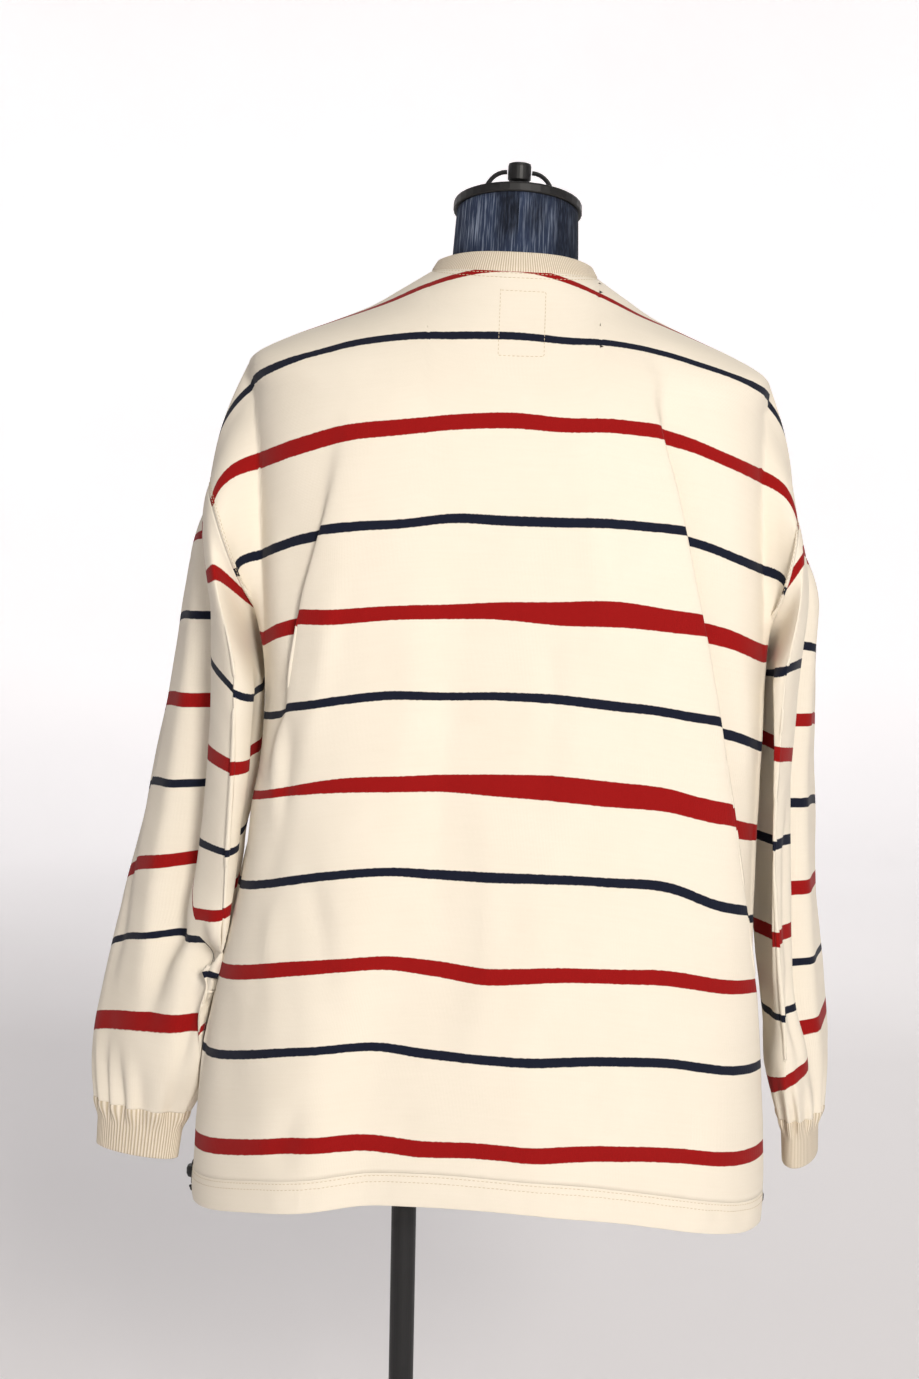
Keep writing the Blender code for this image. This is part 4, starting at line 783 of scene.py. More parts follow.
def tubeMesh(name, path, radius, sides=16, closedLoop=False):
    # round tube on a path of points, its ends closed by a small dome
    path = np.asarray(path, float)
    if closedLoop:
        tangents = unit(np.roll(path, -1, axis=0) - np.roll(path, 1, axis=0))
    else:
        tangents = unit(np.gradient(path, axis=0))
    side = unit(np.cross(tangents, np.array([0.0, 1.0, 0.13])))
    other = np.cross(tangents, side)
    angle = np.linspace(0, 2 * pi, sides, endpoint=False)
    wayRound = np.cos(angle)[None, :, None] * side[:, None] + np.sin(angle)[None, :, None] * other[:, None]
    rings = path[:, None] + radius * wayRound
    lengths = np.concatenate([[0.0], np.cumsum(np.linalg.norm(np.diff(path, axis=0), axis=1))])
    if closedLoop:
        rings = np.concatenate([rings, rings[:1]])
        lengths = np.append(lengths, lengths[-1] + np.linalg.norm(path[0] - path[-1]))
    else:
        domes = []
        for end, way in ((0, -1), (-1, 1)):
            dome = []
            for turn in (pi / 6, pi / 3, pi / 2 * 0.97):
                rise = tangents[end] * way * radius * sin(turn) * 0.5
                dome.append(path[end] + (rings[end] - path[end]) * cos(turn) + rise)
            domes.append(dome)
        rings = np.concatenate([np.array(domes[0][::-1]), rings, np.array(domes[1])])
        lengths = np.concatenate([[lengths[0]] * 3, lengths, [lengths[-1]] * 3])
    around = np.broadcast_to(angle * radius, rings.shape[:2])
    mesh = gridMesh(name, rings, True, (around, np.broadcast_to(lengths[:, None], rings.shape[:2])))
    closeMesh(mesh, 0.00001)
    mesh.shade_smooth()
    return mesh


def makeCord(side):
    points, turnEnd = cordRoute(side)
    path = leanPoints(points)
    dense = np.linspace(0, len(path) - 1, 60)
    smooth = np.stack([np.interp(dense, np.arange(len(path)), path[:, k]) for k in range(3)], -1)
    for _ in range(6):
        smooth[1:-1] = (smooth[:-2] + 2 * smooth[1:-1] + smooth[2:]) / 4
    name = sideName(side)
    cord = addPiece("cord_end_" + name, tubeMesh("cord_end_" + name, smooth, cordSizes["radius"]), braid)
    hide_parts("drawcord_" + name)
    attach(cord, "root")
    # overhand knot at the end, as a small closed trefoil of the same cord
    knotDrop = cordSizes["drop"] + cordSizes["knotRadius"] + cordSizes["gap"]
    middle = leanPoints(turnEnd - np.array([0.0, 0.0, knotDrop]))
    t = np.linspace(0, 2 * pi, 72, endpoint=False)
    trefoil = np.stack([np.sin(t) + 2 * np.sin(2 * t), -np.sin(3 * t), np.cos(t) - 2 * np.cos(2 * t)], -1)
    knotMesh = tubeMesh("knot_" + name, middle + trefoil * cordSizes["knotScale"], cordSizes["knotTube"], 12, True)
    knot = addPiece("cord_end_knot_" + name, knotMesh, braid)
    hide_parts("cord_knot_" + name)
    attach(knot, "root")


for side in (1, -1):
    makeCord(side)

# body panels
panelSizes = {"wall": 0.0011, "rows": 196, "lapColumns": 40, "innerColumns": 34, "outerColumns": 40, "strip": 0.014,
              "fineWaves": 0.0007, "fineSize": 0.11, "smallWaves": 0.0004, "smallSize": 0.035, "stillEdge": 0.025,
              "stillTop": 0.06, "overlap": 0.0005}


def panelColumns(side, face, down):
    lap = [l for l in laps if l[0] == face and l[1] == side][0]
    centre = float(lapCentre(lap, np.clip(down, lap[2], lap[3])))
    low, high = centre - 2.6 * lap[9], centre + 2.6 * lap[9]
    edge = float(panelEdge(down))
    inner = np.linspace(0.0, low, panelSizes["innerColumns"] + 1)
    middle = np.linspace(low, high, panelSizes["lapColumns"] + 1)[1:]
    return np.concatenate([inner, middle, np.linspace(high, edge, panelSizes["outerColumns"] + 1)[1:]])


def panelCut(face, side, bottom):
    # places on the cut: rows follow the shoulder above and the hem below
    share = np.linspace(0.0, 1.0, panelSizes["rows"]) ** 1.12
    across, down = [], []
    for s in share:
        guess = cut["shoulderDrop"] + s * (bottom - cut["shoulderDrop"])
        row = panelColumns(side, face, guess)
        start = seamDown(row, face)
        across.append(row)
        down.append(start + (bottom - start) * s)
    return np.array(across), np.array(down)


def halfPanel(face, side, across, down):
    points = bodyPoints(across, down, side, face)
    edge = panelEdge(down[:, -1])
    start = cut["shoulderDrop"]
    turn = np.clip((down[:, -1] - start) / cut["armhole"], 0.0, 1.0)
    way = wayAtArmhole(panelWay, turn, side, face)
    reach = np.maximum(edge[:, None] - across, 0.0)
    straight = points[:, -1:] - way[:, None] * reach[..., None]
    near = ease(1 - reach / panelSizes["strip"]) * ease((underarm + 0.004 - down) / 0.02)
    return points + (straight - points) * near[..., None]


def surfaceFor(face, bottom):
    halves, places = {}, {}
    for side in (-1, 1):
        across, down = panelCut(face, side, bottom)
        halves[side], places[side] = halfPanel(face, side, across, down), (across * side, down)
    return joinHalves(halves, places)


def dressSurface(grid, across, down, face):
    # creases and slow unevenness along the surface's own normal, held still at the seams
    normals = outwardNormals(grid, False)
    still = ease((np.minimum(panelEdge(down), cut["chestHalf"]) - np.abs(across)) / panelSizes["stillEdge"])
    still = still * ease((down - seamDown(np.abs(across), face)) / panelSizes["stillTop"])
    lift = creaseHeight(across, down, bodyCreases[face])
    seed = 3 if face == "back" else 8
    lift = lift + panelSizes["fineWaves"] * slowNoise(across, down * 0.6, seed, panelSizes["fineSize"])
    lift = lift + panelSizes["smallWaves"] * slowNoise(across, down, seed + 1, panelSizes["smallSize"])
    return grid + normals * (lift * still)[..., None], normals


def clothPlaces(across, down, face):
    left, right = (clothDown(np.abs(across), down, side, face) for side in (1, -1))
    return np.where(across > 0, left, right)


panelSurfaces = {}


def makePanel(face):
    bottom = cut["hem"] - cut["casing"] + panelSizes["overlap"]
    grid, across, down = surfaceFor(face, bottom)
    grid = dressSurface(grid, across, down, face)[0]
    grid = leanPoints(grid)
    panelSurfaces[face] = (grid, across, down)
    name = "jersey_" + face + "_panel"
    mesh = gridMesh(name, grid, False, (across, down), stripeRow(across, clothPlaces(across, down, face)))
    faceOutwards(mesh, (hang["offset"], 0.0))
    piece = addWall(addPiece(name, mesh, jersey), panelSizes["wall"])
    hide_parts("shirt_" + face)
    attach(piece, "root")


for face in ("back", "front"):
    makePanel(face)

# hem casing, a folded tunnel gathered a little by its cord
casingSizes = {"thick": 0.0030, "pucker": 0.0011, "puckerSpacing": 0.019, "end": 0.0028, "margin": 0.0008,
               "inset": 0.0008, "waver": 0.0012, "rows": 15}


def bandMesh(name, grid, normals, thick, cutPlaces, closedRound, rowNumbers=None):
    # folded band: outer face, round bottom edge, inner face and round top edge in one closed section
    rows = grid.shape[0]
    turns = np.linspace(0, pi, 6)[1:-1]
    half = (thick / 2)[..., None]
    downwards = unit(np.gradient(grid, axis=0))
    outer = [grid[k] + normals[k] * half[k] for k in range(rows)]
    inner = [grid[k] - normals[k] * half[k] for k in range(rows)][::-1]
    low = [grid[-1] + (normals[-1] * cos(t) + downwards[-1] * sin(t)) * half[-1] for t in turns]
    high = [grid[0] - (normals[0] * cos(t) + downwards[0] * sin(t)) * half[0] for t in turns]
    section = np.array(outer + low + inner + high + outer[:1])
    across, down = cutPlaces
    picks = list(range(rows)) + [rows - 1] * len(turns) + list(range(rows))[::-1] + [0] * len(turns) + [0]
    rowsHere = None if rowNumbers is None else rowNumbers[picks]
    mesh = gridMesh(name, section, closedRound, (across[picks], down[picks]), rowsHere)
    closeMesh(mesh, 0.000005)
    mesh.shade_smooth()
    return mesh


def makeCasing(face):
    top, bottom = cut["hem"] - cut["casing"] + casingSizes["margin"], cut["hem"] - casingSizes["margin"]
    halves, places = {}, {}
    for side in (-1, 1):
        down = np.linspace(top, bottom, casingSizes["rows"])
        across = np.array([panelColumns(side, face, d) for d in down])
        edge = cut["chestHalf"] - casingSizes["end"]
        across = across * edge / across[:, -1:]
        down = np.broadcast_to(down[:, None], across.shape)
        halves[side], places[side] = bodyPoints(across, down, side, face), (across * side, down)
    grid, across, down = joinHalves(halves, places)
    grid, normals = dressSurface(grid, across, down, face)
    rise = (down - top) / (bottom - top)
    seed = 21 if face == "back" else 31
    spread = 1 + 0.35 * slowNoise(across, down * 0, seed, 0.12)
    pucker = np.sin(across * 2 * pi / casingSizes["puckerSpacing"] * spread
                    + 2 * slowNoise(across, down * 0, seed + 1, 0.09))
    strong = ease(0.5 + 1.2 * slowNoise(across, down * 0, seed + 2, 0.16))
    lift = casingSizes["pucker"] * pucker * strong * np.sin(pi * np.clip(rise, 0, 1)) ** 0.6
    grid = grid + normals * lift[..., None]
    grid[..., 2] += casingSizes["waver"] * slowNoise(across, down * 0, seed + 3, 0.07) * rise
    thick = casingSizes["thick"] * (0.55 + 0.45 * np.sin(pi * rise) ** 0.5)
    grid = leanPoints(grid)
    name = "hem_tunnel_" + face
    middle = grid - normals * casingSizes["inset"]
    mesh = bandMesh(name, middle, normals, thick, (across, down), False, stripeRow(across, down))
    piece = addPiece(name, mesh, jersey)
    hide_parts("hem_casing_" + face)
    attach(piece, "root")
    outside = grid + normals * (thick / 2 - casingSizes["inset"])[..., None]
    panelSurfaces["casing_" + face] = (outside, across, down)


for face in ("back", "front"):
    makeCasing(face)
print("hem made")

# sleeves
sleeveSizes = {"rings": 230, "sides": 200, "wall": 0.0011, "clearance": 0.0046, "blend": 0.085, "carry": 0.010,
               "gathers": 12, "gatherHeight": 0.0030, "gatherReach": 0.065, "seamFade": 0.03, "cuffFade": 0.04,
               "lastClearance": 0.003}
# down, out, forward, level, breadth, thick, turn, tilt, dip, dent
sleeveTables = {
    "left": np.array((
        (0.075, 0.2370, 0.000, 1.146, 0.098, 0.036, 12.0, 0.045, 0.30, 0.008),
        (0.150, 0.2430, 0.002, 1.072, 0.094, 0.040, 16.0, 0.035, 0.30, 0.011),
        (0.250, 0.2570, 0.004, 0.975, 0.090, 0.038, 24.0, 0.024, 0.28, 0.010),
        (0.340, 0.2700, 0.004, 0.885, 0.084, 0.036, 34.0, 0.015, 0.22, 0.007),
        (0.420, 0.2800, 0.002, 0.814, 0.076, 0.033, 45.0, 0.008, 0.12, 0.004),
        (0.480, 0.2900, 0.000, 0.754, 0.066, 0.029, 56.0, 0.003, 0.05, 0.002),
        (0.523, 0.2975, 0.000, 0.708, 0.046, 0.018, 68.0, 0.000, 0.00, 0.000),
    )),
    "right": np.array((
        (0.075, 0.2530, 0.010, 1.146, 0.102, 0.032, 8.0, 0.045, 0.06, 0.006),
        (0.150, 0.2590, 0.018, 1.075, 0.100, 0.031, 11.0, 0.035, 0.08, 0.008),
        (0.250, 0.2660, 0.022, 0.985, 0.097, 0.030, 14.0, 0.024, 0.06, 0.010),
        (0.340, 0.2760, 0.020, 0.896, 0.091, 0.029, 15.0, 0.015, 0.05, 0.010),
        (0.420, 0.2860, 0.016, 0.823, 0.083, 0.028, 16.0, 0.008, 0.03, 0.008),
        (0.480, 0.2900, 0.012, 0.773, 0.070, 0.027, 18.0, 0.003, 0.01, 0.004),
        (0.523, 0.2940, 0.008, 0.730, 0.046, 0.018, 20.0, 0.000, 0.00, 0.000),
    )),
}
# the sleeve's outer side folds in between a back and a front lobe:
# down, depth of the fold, inward shift of the back lobe, fold's place towards the back, its half width
sleeveFolds = {
    "left": np.array(((0.00, 0.000, 0.000, 0.020, 0.014), (0.05, 0.020, 0.008, 0.022, 0.014),
                      (0.12, 0.038, 0.016, 0.024, 0.014), (0.25, 0.040, 0.020, 0.022, 0.014),
                      (0.34, 0.030, 0.016, 0.020, 0.013), (0.40, 0.012, 0.006, 0.018, 0.012),
                      (0.46, 0.000, 0.000, 0.016, 0.012), (0.53, 0.000, 0.000, 0.016, 0.012))),
    "right": np.array(((0.00, 0.000, 0.000, 0.034, 0.012), (0.04, 0.014, 0.006, 0.034, 0.012),
                       (0.10, 0.022, 0.012, 0.036, 0.012), (0.25, 0.024, 0.014, 0.036, 0.012),
                       (0.40, 0.022, 0.014, 0.034, 0.012), (0.48, 0.008, 0.006, 0.028, 0.011),
                       (0.52, 0.000, 0.000, 0.020, 0.011), (0.53, 0.000, 0.000, 0.020, 0.011))),
}
# soft buckles: angle, down, half width round, half width down, height
sleeveBuckles = {
    "left": ((1.15, 0.325, 0.55, 0.020, 0.0060), (1.05, 0.366, 0.50, 0.017, -0.0190),
             (1.20, 0.415, 0.50, 0.035, -0.0080), (-0.9, 0.30, 0.30, 0.050, -0.0030),
             (-0.5, 0.47, 0.25, 0.030, -0.0030), (2.6, 0.22, 0.5, 0.030, -0.0040)),
    "right": ((1.05, 0.400, 0.40, 0.028, -0.0040), (0.9, 0.455, 0.35, 0.022, 0.0030),
              (-0.8, 0.33, 0.35, 0.045, -0.0035), (2.5, 0.26, 0.5, 0.030, -0.0040)),
}
# troughs that run down the sleeve: angle at top and bottom (radians from the outer fold, + is the back),
# top and bottom distances down, depth, width in radians
sleeveTroughs = {
    "left": ((0.95, 0.80, 0.30, 0.50, 0.0050, 0.16), (-0.75, -0.60, 0.10, 0.46, 0.0035, 0.16),
             (2.4, 2.2, 0.06, 0.45, 0.0050, 0.25), (-2.2, -2.0, 0.05, 0.48, 0.0045, 0.22)),
    "right": ((0.90, 1.00, 0.20, 0.50, 0.0040, 0.14), (-0.70, -0.75, 0.10, 0.46, 0.0035, 0.15),
              (2.3, 2.2, 0.06, 0.45, 0.0045, 0.25), (-2.1, -2.0, 0.05, 0.48, 0.0045, 0.22)),
}

# rows on the sleeves, for the outer lobe and for the back lobe that folds over it: distances down at an angle
# round the sleeve, that angle, and each row's slope per radian; fold is where the lobes meet, as (down, angle)
sleeveRows = {
    "left": {
        "outer": ((0.045, 0.110, 0.177, 0.246, 0.308, 0.372, 0.447, 0.560), 0.0,
                  (-0.028, -0.027, -0.025, -0.022, -0.030, -0.027, -0.014, -0.014)),
        "back": ((0.045, 0.111, 0.182, 0.261, 0.319, 0.386, 0.458, 0.570), 1.0,
                 (-0.035, -0.022, -0.030, -0.027, -0.030, -0.028, -0.020, -0.020)),
        "fold": ((0.00, 0.80), (0.11, 0.58), (0.19, 0.32), (0.26, 0.30), (0.32, 0.65), (0.38, 0.95), (0.46, 1.45)),
    },
    "right": {
        "outer": ((0.045, 0.120, 0.176, 0.2505, 0.318, 0.381, 0.4375, 0.560), 0.0,
                  (-0.028, -0.034, -0.014, -0.012, -0.004, -0.001, 0.006, 0.000)),
        "back": ((0.000, 0.0765, 0.149, 0.243, 0.328, 0.405, 0.480, 0.590), 1.7,
                 (-0.032, -0.035, -0.041, -0.022, -0.012, -0.006, 0.012, 0.012)),
        "fold": ((0.00, 1.20), (0.05, 0.90), (0.10, 0.56), (0.17, 0.44), (0.25, 0.44), (0.39, 0.44), (0.46, 0.60)),
    },
}


def sleeveRow(name, signed, down):
    table = sleeveRows[name]
    # angle from the outer fold, brought back to nothing at the inner seam so that both edges meet there
    turned = np.sign(signed) * np.minimum(np.abs(signed), (pi - np.abs(signed)) * 8.0)
    numbers = {}
    for lobe in ("outer", "back"):
        places, start, slopes = table[lobe]
        numbers[lobe] = rowBetween(down, np.array(places) + np.array(slopes) * (turned - start)[..., None])
    fold = np.array(table["fold"])
    edge = np.interp(down, fold[:, 0], fold[:, 1])
    share = ease((signed - edge) / 0.09 + 0.5) * ease((pi - signed) / 0.3)
    return numbers["outer"] * (1 - share) + numbers["back"] * share


sleeveEnds = {}


def armholePoints(side, angle):
    turn = np.where(angle <= pi, angle, 2 * pi - angle) / pi
    down = cut["shoulderDrop"] + turn * cut["armhole"]
    edge = panelEdge(down)
    seam, way = np.zeros(angle.shape + (3,)), np.zeros(angle.shape + (3,))
    for face, chosen in (("back", angle <= pi), ("front", angle > pi)):
        seam[chosen] = bodyPoints(edge[chosen], down[chosen], side, face)
        way[chosen] = wayAtArmhole(sleeveWay, turn[chosen], side, face)
    return seam, way


def fadeAtEnds(down):  # nothing at the armhole and at the cuff
    nearCuff = ease((cut["sleeveLength"] - down) / sleeveSizes["cuffFade"])
    return ease(down / sleeveSizes["seamFade"]) * nearCuff


def sleeveRing(side, down, angle, seam, way):
    table = sleeveTables[sideName(side)]
    first = table[0, 0]
    out, forward, level, breadth, thick, turn, tilt, dip, dent = (
        float(smoothCurve(table[:, 0], table[:, k], max(down, first))) for k in range(1, 10))
    level += max(first - down, 0.0)
    turn = radians(turn)
    gather = ease((down - cut["sleeveLength"] + sleeveSizes["gatherReach"]) / sleeveSizes["gatherReach"])
    phase = 1.2 * np.sin(angle * 2 + side) + 0.8 * np.sin(angle * 3 + 1.3)
    lift = sleeveSizes["gatherHeight"] * gather * np.sin(angle * sleeveSizes["gathers"] + phase)
    wrapped = np.abs(angle - pi) - pi
    dentDepth = dent * np.exp(-(wrapped / 0.55) ** 2)
    longWay = breadth * np.sin(angle)
    shortWay = thick * np.cos(angle) - dentDepth
    folds = sleeveFolds[sideName(side)]
    depth, shift, place, width = (float(smoothCurve(folds[:, 0], folds[:, k], down)) for k in range(1, 5))
    outer = np.sqrt(np.clip(np.cos(angle), 0.0, 1.0))
    folded = depth * np.exp(-((longWay - place) / width) ** 2) + shift * ease((longWay - place + 0.010) / 0.030)
    shortWay = shortWay - outer * folded
    scale = 1 + lift / np.hypot(longWay, shortWay).clip(0.01)
    longWay, shortWay = longWay * scale, shortWay * scale
    x = out + shortWay * cos(turn) - longWay * sin(turn)
    y = -forward + longWay * cos(turn) + shortWay * sin(turn)
    z = level + tilt * np.cos(angle) - dip * (y + forward)
    ring = np.stack([x * side, y, z], -1)
    blend = ease(down / sleeveSizes["blend"])
    carry = sleeveSizes["carry"] * (1 - np.exp(-down / sleeveSizes["carry"]))
    fall = np.array([0.10 * side, 0.0, -1.0]) * (down - carry)
    ring = (seam + way * carry + fall) * (1 - blend) + ring * blend
    wanted = bodyOutline(side, ring[:, 1], ring[:, 2]) + sleeveSizes["clearance"]
    lack = np.maximum(wanted - ring[:, 0] * side, 0.0)
    ring[:, 0] += lack * side * fadeAtEnds(down)
    return ring


def makeSleeve(side):
    name = sideName(side)
    angle = np.linspace(0.0, 2 * pi, sleeveSizes["sides"], endpoint=False)
    seam, way = armholePoints(side, angle)
    downs = np.linspace(0.0, cut["sleeveLength"], sleeveSizes["rings"])
    grid = np.array([sleeveRing(side, d, angle, seam, way) for d in downs])
    normals = outwardNormals(grid, True)
    signed = np.where(angle > pi, angle - 2 * pi, angle)[None, :]
    down = np.broadcast_to(downs[:, None], grid.shape[:2])
    lift = np.zeros(grid.shape[:2])
    for topAngle, lowAngle, top, bottom, depth, width in sleeveTroughs[name]:
        share = np.clip((down - top) / (bottom - top), 0.0, 1.0)
        middle = topAngle + (lowAngle - topAngle) * share + 0.05 * np.sin(down * 40 + topAngle * 9)
        body = ease(share * 4) * ease((1 - share) * 4)
        lift -= depth * body * np.exp(-((signed - middle) / width) ** 2)
    for middle, low, wide, tall, height in sleeveBuckles[name]:
        lift += height * np.exp(-((signed - middle) / wide) ** 2 - ((down - low) / tall) ** 2)
    around = signed * 0.07  # metres round the sleeve
    lift += 0.0010 * slowNoise(around, down, 40 + side, 0.12) + 0.0006 * slowNoise(around, down, 44 + side, 0.05)
    lift *= ease(down / sleeveSizes["seamFade"])
    grid = grid + normals * lift[..., None]
    wanted = bodyOutline(side, grid[..., 1], grid[..., 2]) + sleeveSizes["lastClearance"]
    grid[..., 0] += np.maximum(wanted - grid[..., 0] * side, 0.0) * fadeAtEnds(down) * side
    girth = np.linalg.norm(np.roll(grid, -1, axis=1) - grid, axis=-1).sum(axis=1)
    across = signed * 0 + (np.arange(len(angle))[None, :] / len(angle)) * girth[:, None]
    sleeveEnds[name] = grid[-1]
    world = leanPoints(grid)
    rows = sleeveRow(name, signed + 0 * down, down)
    halves = stripeHalf(rows, 0.12 * np.cos(signed) + 0 * down, 70 + side, headRows)
    title = "jersey_sleeve_" + name
    mesh = gridMesh(title, world, True, (across, down), rows, halves)
    faceOutwards(mesh, world.reshape(-1, 3).mean(axis=0))
    piece = addWall(addPiece(title, mesh, jersey), sleeveSizes["wall"])
    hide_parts("sleeve_" + name)
    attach(piece, "root")
    wide = float(girth.max())
    print(title, grid.shape, "girth", [round(float(g), 3) for g in girth[::57]])


for side in (1, -1):
    makeSleeve(side)

# rib cuffs
cuffSizes = {"length": 0.042, "breadth": 0.0435, "thick": 0.0150, "wall": 0.0024, "girth": 0.205,
             "narrowing": 0.05, "outwards": 0.003, "rings": 26, "inset": 0.0008}


def makeCuff(side):
    name = sideName(side)
    end = sleeveEnds[name]
    angle = np.linspace(0.0, 2 * pi, len(end), endpoint=False)
    turn = radians(sleeveTables[name][-1][6])
    centre = end.mean(axis=0)
    rings, shares = [], np.linspace(0.0, 1.0, cuffSizes["rings"])
    for share in shares:
        narrow = 1 - cuffSizes["narrowing"] * share
        x = (cuffSizes["thick"] * np.cos(angle) * cos(turn) - cuffSizes["breadth"] * np.sin(angle) * sin(turn)) * side
        y = cuffSizes["breadth"] * np.sin(angle) * cos(turn) + cuffSizes["thick"] * np.cos(angle) * sin(turn)
        oval = np.stack([x, y, 0 * x], -1) * narrow
        settle = float(ease(share * 2.2))
        place = centre + (end - centre) * (1 - settle) + oval * settle
        place[:, 2] = end[:, 2] * (1 - settle) + centre[2] * settle - cuffSizes["length"] * share
        place[:, 0] += cuffSizes["outwards"] * share * side
        rings.append(place)
    grid = np.array(rings)
    normals = outwardNormals(grid, True)
    girth = cuffSizes["girth"]
    across = np.broadcast_to(np.arange(len(angle)) / len(angle) * girth, grid.shape[:2])
    down = np.broadcast_to((shares * cuffSizes["length"])[:, None], grid.shape[:2])
    world = leanPoints(grid)
    thick = np.full(grid.shape[:2], cuffSizes["wall"])
    title = "rib_cuff_" + name
    middle = world - normals * cuffSizes["inset"]
    piece = addPiece(title, bandMesh(title, middle, normals, thick, (across, down), True), rib)
    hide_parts("cuff_" + name)
    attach(piece, "root")


for side in (1, -1):
    makeCuff(side)
print("cuffs made")

# collar rib
collarSizes = {"height": 0.017, "wall": 0.0026, "steps": 320, "sideDrop": 0.46, "inset": 0.0006}


def makeCollar():
    angle = np.linspace(0.0, 2 * pi, collarSizes["steps"], endpoint=False)
    folded = np.where(angle <= pi, angle, 2 * pi - angle)
    side = np.where(angle <= pi, 1, -1)
    seam = np.zeros(angle.shape + (3,))
    for face in ("back", "front"):
        share = folded / (pi / 2) if face == "back" else (pi - folded) / (pi / 2)
        chosen = folded <= pi / 2 if face == "back" else folded > pi / 2
        across = cut["neckHalf"] * np.sin(np.clip(share, 0.0, 1.0) * pi / 2)
        for way in (1, -1):
            here = chosen & (side == way)
            seam[here] = bodyPoints(across[here], seamDown(across[here], face), way, face)
    inward = unit(-seam * np.array([1.0, 1.0, 0.0]))
    front = ease((0.5 - 0.5 * np.cos(angle)) ** 2)[:, None]
    way = unit(inward * (0.52 - 0.10 * front) + np.array([0.0, 0.0, 0.86]))
    shares = np.linspace(1.0, -0.06, 16)
    tall = collarSizes["height"] * (1 - collarSizes["sideDrop"] * np.sin(angle)[:, None] ** 4)
    grid = np.array([seam + way * tall * share for share in shares])
    normals = outwardNormals(grid, True)
    girth = float(np.linalg.norm(np.roll(seam, -1, axis=0) - seam, axis=-1).sum())
    across = np.broadcast_to(np.arange(len(angle)) / len(angle) * girth, grid.shape[:2])
    down = np.broadcast_to(((1 - shares) * collarSizes["height"])[:, None], grid.shape[:2])
    thick = np.full(grid.shape[:2], collarSizes["wall"])
    thick[-3:] *= np.array([0.9, 0.7, 0.5])[:, None]
    world = leanPoints(grid)
    middle = world - normals * collarSizes["inset"]
    piece = addPiece("rib_collar", bandMesh("rib_collar", middle, normals, thick, (across, down), True), rib)
    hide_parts("collar_rib")
    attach(piece, "root")


makeCollar()
print("collar made")

# dress form cover
formSizes = {
    "sections": (
        (1.5030, 0.0515, 0.0515, 0.0515, 2.0), (1.4750, 0.0530, 0.0530, 0.0530, 2.0),
        (1.4560, 0.0540, 0.0540, 0.0520, 2.0), (1.4430, 0.0560, 0.0555, 0.0480, 2.0),
        (1.4280, 0.0660, 0.0595, 0.0450, 2.0), (1.4130, 0.0960, 0.0675, 0.0540, 2.0),
        (1.3990, 0.1400, 0.0775, 0.0680, 2.1), (1.3860, 0.1700, 0.0845, 0.0770, 2.2),
        (1.3680, 0.2000, 0.0925, 0.0860, 2.3), (1.3400, 0.2060, 0.1100, 0.1010, 2.5),
        (1.2900, 0.1960, 0.1190, 0.1130, 2.5), (1.2000, 0.1650, 0.1210, 0.1240, 2.4),
        (1.1000, 0.1500, 0.1130, 0.1190, 2.3), (1.0000, 0.1420, 0.1060, 0.1120, 2.3),
        (0.9000, 0.1500, 0.1090, 0.1110, 2.3), (0.8000, 0.1580, 0.1140, 0.1120, 2.3),
        (0.7700, 0.1560, 0.1120, 0.1100, 2.3)),
    "sides": 112, "steps": 8, "tilt": radians(13.0),
}


def makeForm():
    table = np.array(formSizes["sections"])
    index = np.linspace(0, len(table) - 1, (len(table) - 1) * formSizes["steps"] + 1)
    rows = np.stack([smoothCurve(np.arange(len(table)), table[:, k], index) for k in range(5)], -1)
    angle = np.linspace(0.0, 2 * pi, formSizes["sides"], endpoint=False)
    rings = []
    for level, half, back, front, square in rows:
        depth = np.where(np.cos(angle) > 0, back, front)
        x = half * np.sign(np.sin(angle)) * np.abs(np.sin(angle)) ** (2 / square)
        y = depth * np.sign(np.cos(angle)) * np.abs(np.cos(angle)) ** (2 / square)
        neck = float(ease((level - 1.456) / 0.044))
        rings.append(np.stack([x, y, level + np.tan(formSizes["tilt"]) * y * neck], -1))
    grid = np.array(rings)
    across = np.broadcast_to(angle * 0.053, grid.shape[:2])
    down = np.broadcast_to(rows[:, :1], grid.shape[:2])
    mesh = gridMesh("denim_form", leanPoints(grid), True, (across, down))
    closeMesh(mesh)
    for polygon in mesh.polygons:
        polygon.use_smooth = len(polygon.vertices) == 4
    piece = addPiece("denim_form", mesh, denim)
    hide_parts("form_body")
    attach(piece, "root")


makeForm()
print("form made")

# black parts keep their solids, with a painted or moulded finish
for name, finish in (("neck_cap", blackPaint), ("cap_knob", blackPaint), ("bail_arm_left", blackPaint),
                     ("bail_arm_right", blackPaint), ("form_flange", blackPaint), ("stand_pole", blackPaint),
                     ("base_plate", blackPaint), ("cord_lock_left", blackPlastic), ("cord_lock_right", blackPlastic)):
    nodes[name].data.materials.clear()
    nodes[name].data.materials.append(finish)

# stitches
stitchSizes = {"length": 0.0026, "pitch": 0.0036, "radius": 0.00028, "proud": 0.0002,
               "hemInsets": (0.0026, 0.0076), "armholeInsets": (0.0030, 0.0080), "neckInsets": (0.0030, 0.0075)}
# plain stitched rectangle below the neck: + is the wearer's left, top and bottom are distances down
labelBox = {"left": 0.014, "right": -0.028, "top": 0.030, "bottom": 0.092}


